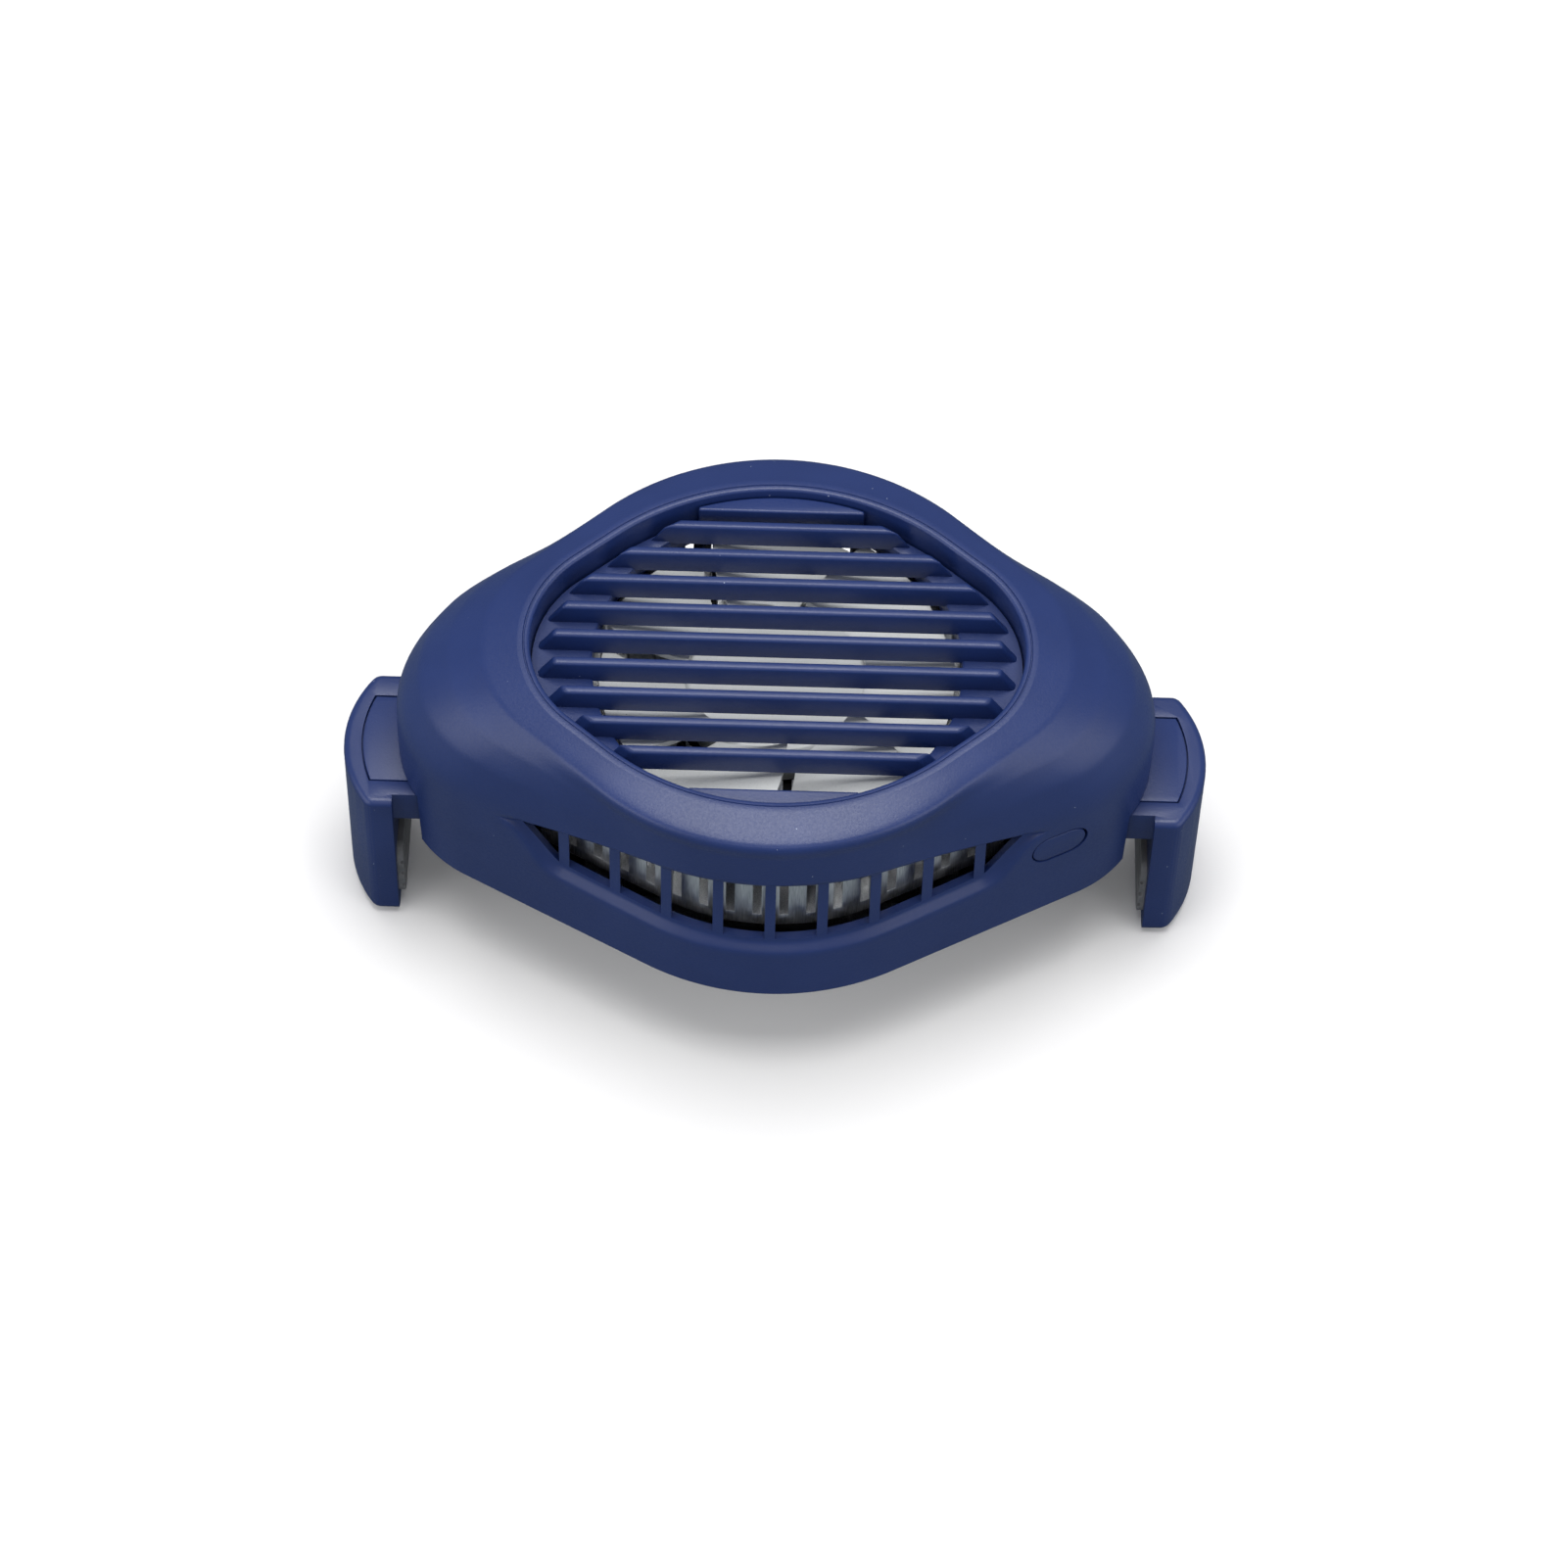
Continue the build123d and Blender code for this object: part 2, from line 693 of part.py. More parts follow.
def make_fan_rotor():
    """Hub cup with its blades, turned about the fan's axis."""
    hub = post(hub_radius, 0, 0, (hub_bottom_z, hub_top_z))
    hub = fillet(hub.edges().group_by(Axis.Z)[-1], hub_round)
    annulus = ring(blade_tip_radius, hub_radius - hub_skirt_thickness / 2, (hub_bottom_z, shelf_top_z))
    blade = fan_blade() & annulus
    rotor = hub
    for index in range(blade_count):
        rotor += Rot(0, 0, index * 360 / blade_count) * blade
    hollow_top = hub_top_z - hub_top_thickness
    rotor -= post(hub_radius - hub_skirt_thickness, 0, 0, (hub_bottom_z - overrun, hollow_top))
    seat_top = hub_top_z - hub_top_thickness + shaft_seat
    return rotor - post(shaft_radius + press_gap, 0, 0, (hub_bottom_z, seat_top))


def fan_blade():
    """One broad blade, swept back towards its tip, a little longer than the ring it is trimmed to."""
    inner = hub_radius * cos(pi / blade_count) - overrun / 2
    outer = blade_tip_radius + overrun / 2
    sections = []
    for share in blade_station_shares:
        radius = blend(inner, outer, share)
        half_chord = radius * tan(pi / blade_count) - blade_slit / 2
        low = blade_low_z
        high = blade_high_z
        points = [
            (-half_chord, low),
            (half_chord, high - blade_thickness),
            (half_chord, high),
            (-half_chord, low + blade_thickness),
        ]
        face = Plane.YZ * make_face(Polyline(*points, close=True))
        turn = blade_sweep_deg * (radius - inner) / (outer - inner)
        sections.append(Rot(0, 0, -turn) * Pos(radius, 0, 0) * face)
    return loft(sections)


def make_stator_core():
    """Laminated core with its poles and pole shoes."""
    span = (core_bottom_z, core_top_z)
    core = ring(core_ring_radius, boss_radius + press_gap, span)
    shoe_ring = ring(core_radius, core_radius - pole_shoe_thickness, span)
    for index in range(pole_count):
        turn = Rot(0, 0, index * 360 / pole_count)
        reach = (core_ring_radius - pole_shoe_thickness, core_radius - pole_shoe_thickness / 2)
        core += turn * block(reach, (-pole_width / 2, pole_width / 2), span)
        core += turn * (shoe_ring & sector(core_radius, pole_shoe_deg, span))
    return core


def sector(radius, angle_deg, z_span):
    """Wedge about +X, wide enough to trim a ring of this radius."""
    reach = radius + overrun
    half = radians(angle_deg / 2)
    points = [(0, 0), (reach, -reach * tan(half)), (reach, reach * tan(half))]
    face = make_face(Polyline(*points, close=True))
    return Pos(0, 0, z_span[0]) * extrude(face, z_span[1] - z_span[0])


def make_stator_coils():
    """One wound block on each pole, with the pole through it."""
    inner = core_ring_radius + seat_gap
    half = pole_width / 2 + seat_gap
    shoe_inner = core_radius - pole_shoe_thickness - seat_gap
    outer = sqrt(shoe_inner**2 - (half + coil_thickness) ** 2)
    low = core_bottom_z - seat_gap
    high = core_top_z + seat_gap
    outside = block(
        (inner, outer),
        (-half - coil_thickness, half + coil_thickness),
        (low - coil_thickness, high + coil_thickness),
    )
    coil = outside - block((inner - overrun, outer + overrun), (-half, half), (low, high))
    narrow = sector(core_radius, 360 / pole_count, (low - overrun, high + overrun))
    coil = coil & (Pos(seam_gap, 0, 0) * narrow)
    return Compound(children=[Rot(0, 0, index * 360 / pole_count) * coil for index in range(pole_count)])


def make_arm():
    """Right clamp arm: the jaw, and the tongue that slides in the body."""
    outline = Wire(
        [
            Line((jaw_inner_x, -jaw_half_width), (jaw_side_x, -jaw_half_width)),
            ThreePointArc((jaw_side_x, -jaw_half_width), (jaw_outer_x, 0), (jaw_side_x, jaw_half_width)),
            Line((jaw_side_x, jaw_half_width), (jaw_inner_x, jaw_half_width)),
            Line((jaw_inner_x, jaw_half_width), (jaw_inner_x, -jaw_half_width)),
        ]
    )
    arm = extrude(Pos(0, 0, jaw_bottom_z) * make_face(outline), arm_top_z - jaw_bottom_z)
    arm = fillet(arm.edges().filter_by(Axis.Z).group_by(Axis.X)[-1], jaw_corner_round)
    arm = fillet(arm.edges().group_by(Axis.Z)[-1].sort_by(Axis.X)[1:], jaw_top_round)
    arm = fillet(arm.edges().group_by(Axis.Z)[0].sort_by(Axis.X)[1:], jaw_foot_round)
    arm += block(
        (tongue_inner_x, jaw_inner_x + jaw_pad_set_in),
        (-neck_half_width, neck_half_width),
        (arm_bottom_z, arm_top_z),
    )
    slot_x = (tongue_inner_x + spring_end_wall, spring_slot_outer_x)
    slot_y = (-spring_slot_half_width, spring_slot_half_width)
    arm -= block(slot_x, slot_y, (arm_bottom_z - overrun, spring_slot_roof_z))
    arm -= cap_prism(seam_gap, arm_top_z - cap_thickness, arm_top_z + overrun)
    return arm - jaw_pad_prism(seat_gap, jaw_inner_x - overrun, jaw_inner_x + jaw_pad_set_in)


def cap_prism(outset, bottom_z, top_z):
    """Strip on the arm's top with a bowed outer end."""
    half = cap_half_width + outset
    near = cap_inner_x - outset
    far = cap_outer_x + outset
    outline = Wire(
        [
            Line((near, -half), (far - cap_sagitta, -half)),
            ThreePointArc((far - cap_sagitta, -half), (far, 0), (far - cap_sagitta, half)),
            Line((far - cap_sagitta, half), (near, half)),
            Line((near, half), (near, -half)),
        ]
    )
    return extrude(Pos(0, 0, bottom_z) * make_face(outline), top_z - bottom_z)


def jaw_pad_prism(outset, low_x, high_x):
    """Rounded rectangle on the jaw's inner face, from low_x to high_x."""
    width = 2 * (jaw_pad_half_width + outset)
    height = jaw_pad_top_z - jaw_pad_bottom_z + 2 * outset
    face = RectangleRounded(width, height, jaw_pad_corner + outset)
    middle_z = (jaw_pad_top_z + jaw_pad_bottom_z) / 2
    return Pos(low_x, 0, middle_z) * (Plane.YZ * extrude(face, high_x - low_x))


def make_jaw_pad():
    """Silicone pad in the right jaw, with grooves along the phone's edge."""
    pad = jaw_pad_prism(0, jaw_pad_face_x, jaw_inner_x + jaw_pad_set_in)
    pitch = (jaw_pad_top_z - jaw_pad_bottom_z) / (pad_groove_count + 1)
    for index in range(pad_groove_count):
        z = jaw_pad_bottom_z + (index + 1) * pitch
        x_span = (jaw_pad_face_x - overrun, jaw_pad_face_x + pad_groove_depth)
        y_span = (-jaw_pad_half_width - overrun, jaw_pad_half_width + overrun)
        pad -= block(x_span, y_span, (z - pad_groove_width / 2, z + pad_groove_width / 2))
    return pad


def helix_point(share):
    """Point and unit tangent of the spring's wire at a share of its coiled length."""
    radius = spring_outer_radius - spring_wire / 2
    turn = 2 * pi * spring_curls * share
    rise = (spring_end_x - spring_start_x) / (2 * pi * spring_curls)
    x = spring_start_x + rise * turn
    point = Vector(x, radius * cos(turn), spring_axis_z + radius * sin(turn))
    tangent = Vector(rise, -radius * sin(turn), radius * cos(turn)).normalized()
    return point, tangent


def biarc(start, start_tangent, end, end_tangent):
    """Two arcs that join two points and follow their tangents."""
    chord = end - start
    both = start_tangent + end_tangent
    spread = 2 * (1 - start_tangent.dot(end_tangent))
    along = chord.dot(both)
    reach = (sqrt(along**2 + spread * chord.dot(chord)) - along) / spread
    near = start + start_tangent * reach
    far = end - end_tangent * reach
    middle = (near + far) / 2
    first = TangentArc(start, middle, tangent=start_tangent)
    return [first, TangentArc(middle, end, tangent=far - near)]


def make_spring():
    """Return spring of the right arm, one wire along X with a straight stub at each end."""
    half_turns = 2 * spring_curls
    edges = []
    for index in range(half_turns):
        start, start_tangent = helix_point(index / half_turns)
        end, end_tangent = helix_point((index + 1) / half_turns)
        edges += biarc(start, start_tangent, end, end_tangent)
    first_point, first_tangent = helix_point(0)
    last_point, last_tangent = helix_point(1)
    edges.insert(0, Line(first_point - first_tangent * spring_wire, first_point))
    edges.append(Line(last_point, last_point + last_tangent * spring_wire))
    path = Wire(edges)
    start = first_point - first_tangent * spring_wire
    section = Plane(origin=start, z_dir=first_tangent) * Circle(spring_wire / 2)
    return sweep(section, path=path)


def spring_least_gap():
    """Least gap between neighbouring turns of the spring, measured on points of its wire."""
    step_count = points_per_curl * spring_curls
    points = [helix_point(step / step_count)[0] for step in range(step_count + 1)]
    apart = step_count // spring_curls // 2
    pairs = ((near, far) for near in range(len(points)) for far in range(near + apart, len(points)))
    return min((points[far] - points[near]).length for near, far in pairs) - spring_wire


def make_power_button():
    """Flush pill with a flange behind the wall and a stem to the switch."""
    flange_high = -button_seat_depth
    flange_low = flange_high - button_flange_thickness
    button = button_prism(0, flange_high, overrun) & body_form()
    button += button_prism(button_flange, flange_low, flange_high)
    stem = extrude(Circle(button_stem_radius), button_stem_length)
    stem = Pos(0, 0, flange_low - button_stem_length) * stem
    return button + button_plane * stem


def make_switch():
    """Switch body behind the button, and its plunger."""
    body = Pos(0, 0, -switch_face_depth - switch_depth / 2) * Box(switch_width, switch_height, switch_depth)
    bore = Pos(0, 0, -switch_face_depth - plunger_depth / 2 - button_travel / 2) * Cylinder(
        plunger_radius + running_gap, plunger_depth + button_travel
    )
    plunger_length = plunger_depth + plunger_stand_out
    plunger = Pos(0, 0, -switch_face_depth - plunger_depth + plunger_length / 2) * Cylinder(
        plunger_radius, plunger_length
    )
    return button_plane * (body - bore), button_plane * plunger


def make_fan_board():
    """Ring-shaped board on the fan base, under the stator."""
    z_span = (fan_base_top_z, fan_base_top_z + fan_board_thickness)
    return ring(fan_board_radius, boss_radius + seat_gap, z_span)


def make_control_board():
    """Board behind the cold plate that carries the power socket."""
    x_span = (-control_board_half_width, control_board_half_width)
    y_span = (control_board_inner_y, body_half_depth)
    area = block(x_span, y_span, (control_board_z, control_board_top_z))
    return area & body_form(wall + board_wall_gap)


def make_board_parts():
    """Small parts along the control board, on both sides of the socket."""
    parts = []
    for size, share in zip(chip_sizes, chip_place_shares):
        length, depth, height = size
        x = share * control_board_half_width
        y = control_board_inner_y + seat_gap + depth / 2
        parts.append(Pos(x, y, control_board_top_z + height / 2) * Box(length, depth, height))
    return Compound(children=parts)


def make_switch_board():
    """Board over the right arm that carries the switch, resting on two screw bosses."""
    x_span = (switch_board_inner_x, switch_board_outer_x)
    y_span = (-switch_board_half_depth, switch_board_half_depth)
    area = block(x_span, y_span, (switch_board_z, switch_board_top_z))
    board = area & body_form(wall + board_wall_gap)
    return board - button_prism(button_flange + slide_gap, -switch_face_depth + plunger_stand_out, 0)


def make_socket():
    """Metal shell of the power socket, open to the rear, and the tongue inside it."""
    back_y = socket_face_y - socket_depth
    shell = socket_prism(0, back_y, socket_face_y)
    shell -= socket_prism(-socket_wall, back_y + socket_wall, socket_face_y + overrun)
    tongue_y = (back_y + socket_wall, back_y + socket_wall + tongue_length)
    tongue = block(
        (-tongue_width / 2, tongue_width / 2),
        tongue_y,
        (socket_z - tongue_thickness / 2, socket_z + tongue_thickness / 2),
    )
    return shell, tongue


def lead(points, radius, bends):
    """Round wire along straight runs with bends between them."""
    path = FilletPolyline(*points, radius=bends)
    section = Plane(origin=path @ 0, z_dir=path % 0) * Circle(radius)
    return sweep(section, path=path)


def make_module_leads():
    """Two wires from the module's rear edge through the gasket down to the control board."""
    wires = []
    for side in (-1, 1):
        x = side * module_lead_x
        points = [
            (x, module_half_side, module_lead_z),
            (x, module_lead_end_y, module_lead_z),
            (x, module_lead_end_y, control_board_top_z),
        ]
        bend = (module_lead_z - control_board_top_z) * lead_bend_share
        wires.append(lead(points, module_lead_radius, bend))
    return Compound(children=wires)


def make_fan_leads():
    """Two wires from the fan's board, out between two fins and down to the control board."""
    wires = []
    for side in (-1, 1):
        x = side * fan_lead_x
        start_y = sqrt(fan_board_radius**2 - (fan_lead_x - fan_lead_radius) ** 2) + seat_gap
        points = [
            (x, start_y, fan_lead_z),
            (x, fan_lead_drop_y, fan_lead_z),
            (x, fan_lead_drop_y, control_board_top_z),
        ]
        wires.append(lead(points, fan_lead_radius, lead_bend_radius))
    return Compound(children=wires)


def make_screws(places, length):
    """Screws driven upwards from the floor, with the head set into it."""
    screws = []
    for x, y in places:
        head_top = body_bottom_z + screw_head_height
        screw = post(screw_head_radius, x, y, (body_bottom_z, head_top))
        screw += post(screw_radius, x, y, (head_top, body_bottom_z + length))
        drive = RegularPolygon(screw_drive_radius, drive_side_count)
        screw -= Pos(x, y, body_bottom_z - overrun) * extrude(drive, overrun + screw_drive_depth)
        screws.append(screw)
    return Compound(children=screws)


def mirrored(shape):
    """The left-hand twin of a right-hand piece."""
    return mirror(shape, about=Plane.YZ)


def make_nodes():
    """Every piece of the cooler by its name."""
    cold_ceramic, pellets, hot_ceramic = make_module()
    socket_shell, socket_tongue = make_socket()
    switch_body, plunger = make_switch()
    arm = make_arm()
    cap = cap_prism(0, arm_top_z - cap_thickness, arm_top_z)
    jaw_pad = make_jaw_pad()
    spring = make_spring()
    magnet_outer = hub_radius - hub_skirt_thickness - press_gap
    shaft_top_z = hub_top_z - hub_top_thickness + shaft_seat
    return {
        "top_shell": make_top_shell(),
        "grille_insert": make_grille_insert(),
        "bottom_shell": make_bottom_shell(),
        "cold_plate": make_cold_plate(),
        "thermal_pad": plate_prism(0, (0, pad_thickness)),
        "module_cold_ceramic": cold_ceramic,
        "module_pellets": pellets,
        "module_hot_ceramic": hot_ceramic,
        "module_leads": make_module_leads(),
        "foam_gasket": make_foam_gasket(),
        "heat_sink": make_heat_sink(),
        "fan_base": make_fan_base(),
        "fan_bearing": ring(bearing_radius, shaft_radius + running_gap, (bearing_bottom_z, bearing_top_z)),
        "fan_board": make_fan_board(),
        "fan_leads": make_fan_leads(),
        "stator_core": make_stator_core(),
        "stator_coils": make_stator_coils(),
        "fan_rotor": make_fan_rotor(),
        "rotor_magnet": ring(magnet_outer, magnet_outer - magnet_thickness, (magnet_bottom_z, magnet_top_z)),
        "fan_shaft": post(shaft_radius, 0, 0, (shaft_bottom_z, shaft_top_z)),
        "control_board": make_control_board(),
        "board_parts": make_board_parts(),
        "power_socket": socket_shell,
        "socket_tongue": socket_tongue,
        "switch_board": make_switch_board(),
        "tact_switch": switch_body,
        "switch_plunger": plunger,
        "power_button": make_power_button(),
        "right_arm": arm,
        "left_arm": mirrored(arm),
        "right_arm_cap": cap,
        "left_arm_cap": mirrored(cap),
        "right_jaw_pad": jaw_pad,
        "left_jaw_pad": mirrored(jaw_pad),
        "right_spring": spring,
        "left_spring": mirrored(spring),
        "case_screws": make_screws(four_corners(case_screw_x, case_screw_y), case_screw_length),
        "heat_sink_screws": make_screws(four_corners(sink_screw_x, sink_screw_y), sink_screw_length),
    }


os.makedirs("parts", exist_ok=True)
for name, shape in make_nodes().items():
    export_step(shape, f"parts/{name}.step")
print(f"Spring turns clear each other by {spring_least_gap():.2f} mm")
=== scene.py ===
"""Looks of a clip-on cooling fan for a phone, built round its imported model.

Sizes in the classes are millimetres. Every mesh is in metres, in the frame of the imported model.
"""

import json
import logging
from dataclasses import dataclass
from enum import Enum
from math import acos, atan2, cos, floor, hypot, pi, radians, sin

import bmesh
import bpy
from mathutils import Matrix, Vector


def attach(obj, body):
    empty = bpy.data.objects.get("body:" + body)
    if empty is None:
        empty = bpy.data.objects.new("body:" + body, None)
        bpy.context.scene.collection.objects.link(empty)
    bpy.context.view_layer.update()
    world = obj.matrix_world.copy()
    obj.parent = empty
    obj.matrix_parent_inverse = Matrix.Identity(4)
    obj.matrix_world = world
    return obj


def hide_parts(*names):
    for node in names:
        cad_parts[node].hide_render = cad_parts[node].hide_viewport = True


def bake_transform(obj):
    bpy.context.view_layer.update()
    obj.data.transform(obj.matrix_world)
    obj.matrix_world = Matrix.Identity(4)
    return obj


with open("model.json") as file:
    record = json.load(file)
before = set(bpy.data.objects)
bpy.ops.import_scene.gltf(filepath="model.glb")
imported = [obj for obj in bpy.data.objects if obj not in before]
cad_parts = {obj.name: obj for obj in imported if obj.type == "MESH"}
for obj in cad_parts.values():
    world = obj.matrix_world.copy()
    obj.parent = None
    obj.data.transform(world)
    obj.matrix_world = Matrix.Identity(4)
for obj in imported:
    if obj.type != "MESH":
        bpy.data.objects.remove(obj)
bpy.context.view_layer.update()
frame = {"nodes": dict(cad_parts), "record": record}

log = logging.getLogger("cooler")
MM = 0.001
MERGE_MM = 0.002
RING_MERGE_MM = 0.0005
FLAT_DEG = 0.6
HALVINGS = 40
SMOOTH_DEG = 40

Socket = bpy.types.NodeSocket
Object = bpy.types.Object
Material = bpy.types.Material


class Body(str, Enum):
    """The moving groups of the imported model."""

    HOUSING = "housing"
    FAN = "fan"
    BUTTON = "button"
    RIGHT_CLAMP = "right_clamp"
    LEFT_CLAMP = "left_clamp"


class Side(Enum):
    """Which end of the body a clamp arm slides out of, as the sign of X."""

    LEFT = -1
    RIGHT = 1


def linear(hex_colour: str) -> tuple[float, float, float, float]:
    """Turns an sRGB hex colour into linear red, green, blue and alpha.

    Args:
        hex_colour: Six hex digits, such as "1F2F63".

    Returns:
        The linear colour with full alpha.
    """
    channels = [int(hex_colour[start : start + 2], 16) / 255 for start in (0, 2, 4)]
    toe, slope, offset, gamma = 0.04045, 12.92, 0.055, 2.4
    values = [c / slope if c <= toe else ((c + offset) / (1 + offset)) ** gamma for c in channels]
    return values[0], values[1], values[2], 1.0


def add_node(
    tree: bpy.types.NodeTree, kind: str, settings: dict | None = None, links: dict | None = None
) -> bpy.types.Node:
    """Adds a shader node with its settings and links.

    Args:
        tree: The node tree that the node goes into.
        kind: The node's type name.
        settings: Values by input name or number, or by attribute name.
        links: Output sockets by input name or number.

    Returns:
        The new node.
    """
    node = tree.nodes.new(kind)
    for name, value in (settings or {}).items():
        if isinstance(name, str) and hasattr(node, name):
            setattr(node, name, value)
        else:
            node.inputs[name].default_value = value
    for name, socket in (links or {}).items():
        tree.links.new(socket, node.inputs[name])
    return node


def new_material(name: str, settings: dict) -> tuple[Material, bpy.types.NodeTree, bpy.types.Node]:
    """Makes a material with one Principled shader.

    Args:
        name: The material's name.
        settings: The shader's values by input name.

    Returns:
        The material, its node tree and its shader node.
    """
    material = bpy.data.materials.new(name)
    material.use_nodes = True
    tree = material.node_tree
    tree.nodes.clear()
    shader = add_node(tree, "ShaderNodeBsdfPrincipled", settings)
    add_node(tree, "ShaderNodeOutputMaterial", links={"Surface": shader.outputs["BSDF"]})
    return material, tree, shader


def noise(tree: bpy.types.NodeTree, size_mm: float, detail: float, stretch: tuple = (1, 1, 1)) -> Socket:
    """Noise whose features are about one size, on the piece's own coordinates.

    Args:
        tree: The node tree.
        size_mm: Size of the features in millimetres.
        detail: Number of finer layers.
        stretch: How many times longer the features are along each axis.

    Returns:
        The noise's value, about 0.5 on average.
    """
    place = add_node(tree, "ShaderNodeTexCoord").outputs["Object"]
    scale = [1 / (size_mm * MM * share) for share in stretch]
    mapped = add_node(tree, "ShaderNodeMapping", {"Scale": scale}, {"Vector": place})
    texture = add_node(
        tree, "ShaderNodeTexNoise", {"Scale": 1.0, "Detail": detail}, {"Vector": mapped.outputs[0]}
    )
    return texture.outputs[0]


def ranged(tree: bpy.types.NodeTree, value: Socket, low: float, high: float) -> Socket:
    """Maps noise from its usual span onto another span.

    Args:
        tree: The node tree.
        value: The noise.
        low: Result for the noise's low end.
        high: Result for its high end.

    Returns:
        The mapped value.
    """
    settings = {"From Min": 0.3, "From Max": 0.7, "To Min": low, "To Max": high}
    return add_node(tree, "ShaderNodeMapRange", settings, {"Value": value}).outputs[0]


def mixed(tree: bpy.types.NodeTree, share: Socket, first: str, second: str) -> Socket:
    """Mixes two hex colours by a varying share.

    Args:
        tree: The node tree.
        share: How much of the second colour shows.
        first: Hex colour at share 0.
        second: Hex colour at share 1.

    Returns:
        The mixed colour.
    """
    settings = {"data_type": "RGBA", 6: linear(first), 7: linear(second)}
    return add_node(tree, "ShaderNodeMix", settings, {0: share}).outputs[2]


def bump(tree: bpy.types.NodeTree, shader: bpy.types.Node, height: Socket, depth_mm: float) -> None:
    """Gives a shader a bump from a height.

    Args:
        tree: The node tree.
        shader: The shader that takes the normal.
        height: The height, from 0 to 1.
        depth_mm: Depth of the relief in millimetres.
    """
    node = add_node(tree, "ShaderNodeBump", {"Strength": 1.0, "Distance": depth_mm * MM}, {"Height": height})
    tree.links.new(node.outputs[0], shader.inputs["Normal"])


@dataclass(frozen=True)
class MouldedPlastic:
    """ABS moulded in a spark-eroded tool: an even satin skin with a fine grain that breaks up the glints."""

    name: str
    colour: str
    worn_colour: str
    roughness: float
    grain_mm: float = 0.22
    grain_depth_mm: float = 0.012
    patch_mm: float = 9.0
    dust_colour: str = "9AA3BC"
    dust_pitch_mm: float = 2.6
    dust_share: float = 0.022

    def material(self) -> Material:
        """Builds the plastic's material."""
        made, tree, shader = new_material(self.name, {"IOR": 1.5})
        patches = ranged(tree, noise(tree, self.patch_mm, 3), 0.0, 1.0)
        tone = mixed(tree, patches, self.colour, self.worn_colour)
        place = add_node(tree, "ShaderNodeTexCoord").outputs["Object"]
        specks = add_node(
            tree, "ShaderNodeTexVoronoi", {"Scale": 1 / (self.dust_pitch_mm * MM)}, {"Vector": place}
        )
        speck = add_node(
            tree, "ShaderNodeMath", {"operation": "LESS_THAN", 1: self.dust_share}, {0: specks.outputs[0]}
        )
        dusty = add_node(
            tree,
            "ShaderNodeMix",
            {"data_type": "RGBA", 7: linear(self.dust_colour)},
            {0: speck.outputs[0], 6: tone},
        )
        tree.links.new(dusty.outputs[2], shader.inputs["Base Color"])
        grain = noise(tree, self.grain_mm, 2)
        rough = ranged(tree, grain, self.roughness - 0.05, self.roughness + 0.06)
        tree.links.new(rough, shader.inputs["Roughness"])
        bump(tree, shader, grain, self.grain_depth_mm)
        return made


@dataclass(frozen=True)
class BareMetal:
    """Bare metal, cut or drawn one way: fine streaks lie along the tool's path and stretch the glints."""

    name: str
    colour: str
    streak_colour: str
    roughness: float
    streak_mm: float = 0.12
    stretch: tuple = (1, 1, 14)
    depth_mm: float = 0.006
    patch_mm: float = 1.4

    def material(self) -> Material:
        """Builds the metal's material."""
        made, tree, shader = new_material(self.name, {"Metallic": 1.0})
        streaks = noise(tree, self.streak_mm, 3, self.stretch)
        tone = mixed(tree, ranged(tree, streaks, 0.0, 1.0), self.streak_colour, self.colour)
        tree.links.new(tone, shader.inputs["Base Color"])
        rough = ranged(tree, noise(tree, self.patch_mm, 3), self.roughness - 0.07, self.roughness + 0.09)
        tree.links.new(rough, shader.inputs["Roughness"])
        bump(tree, shader, streaks, self.depth_mm)
        return made


@dataclass(frozen=True)
class SoftRubber:
    """Silicone rubber cast in a matt tool: a dull skin that clouds where it is handled."""

    name: str
    colour: str
    clouded_colour: str
    roughness: float = 0.72
    grain_mm: float = 0.3
    depth_mm: float = 0.03
    cloud_mm: float = 1.8

    def material(self) -> Material:
        """Builds the rubber's material."""
        made, tree, shader = new_material(self.name, {"IOR": 1.41})
        clouds = ranged(tree, noise(tree, self.cloud_mm, 4), 0.0, 1.0)
        tree.links.new(mixed(tree, clouds, self.colour, self.clouded_colour), shader.inputs["Base Color"])
        grain = noise(tree, self.grain_mm, 3)
        rough = ranged(tree, grain, self.roughness - 0.08, self.roughness + 0.08)
        tree.links.new(rough, shader.inputs["Roughness"])
        bump(tree, shader, grain, self.depth_mm)
        return made


@dataclass(frozen=True)
class FoamSheet:
    """Closed-cell foam cut from sheet: open cells on the cut faces, with no gloss at all."""

    name: str
    colour: str
    cell_colour: str
    cell_mm: float = 0.35
    cell_depth_mm: float = 0.1

    def material(self) -> Material:
        """Builds the foam's material."""
        made, tree, shader = new_material(self.name, {"IOR": 1.45, "Roughness": 0.95})
        place = add_node(tree, "ShaderNodeTexCoord").outputs["Object"]
        cells = add_node(tree, "ShaderNodeTexVoronoi", {"Scale": 1 / (self.cell_mm * MM)}, {"Vector": place})
        tone = mixed(tree, cells.outputs[0], self.cell_colour, self.colour)
        tree.links.new(tone, shader.inputs["Base Color"])
        bump(tree, shader, cells.outputs[0], self.cell_depth_mm)
        return made


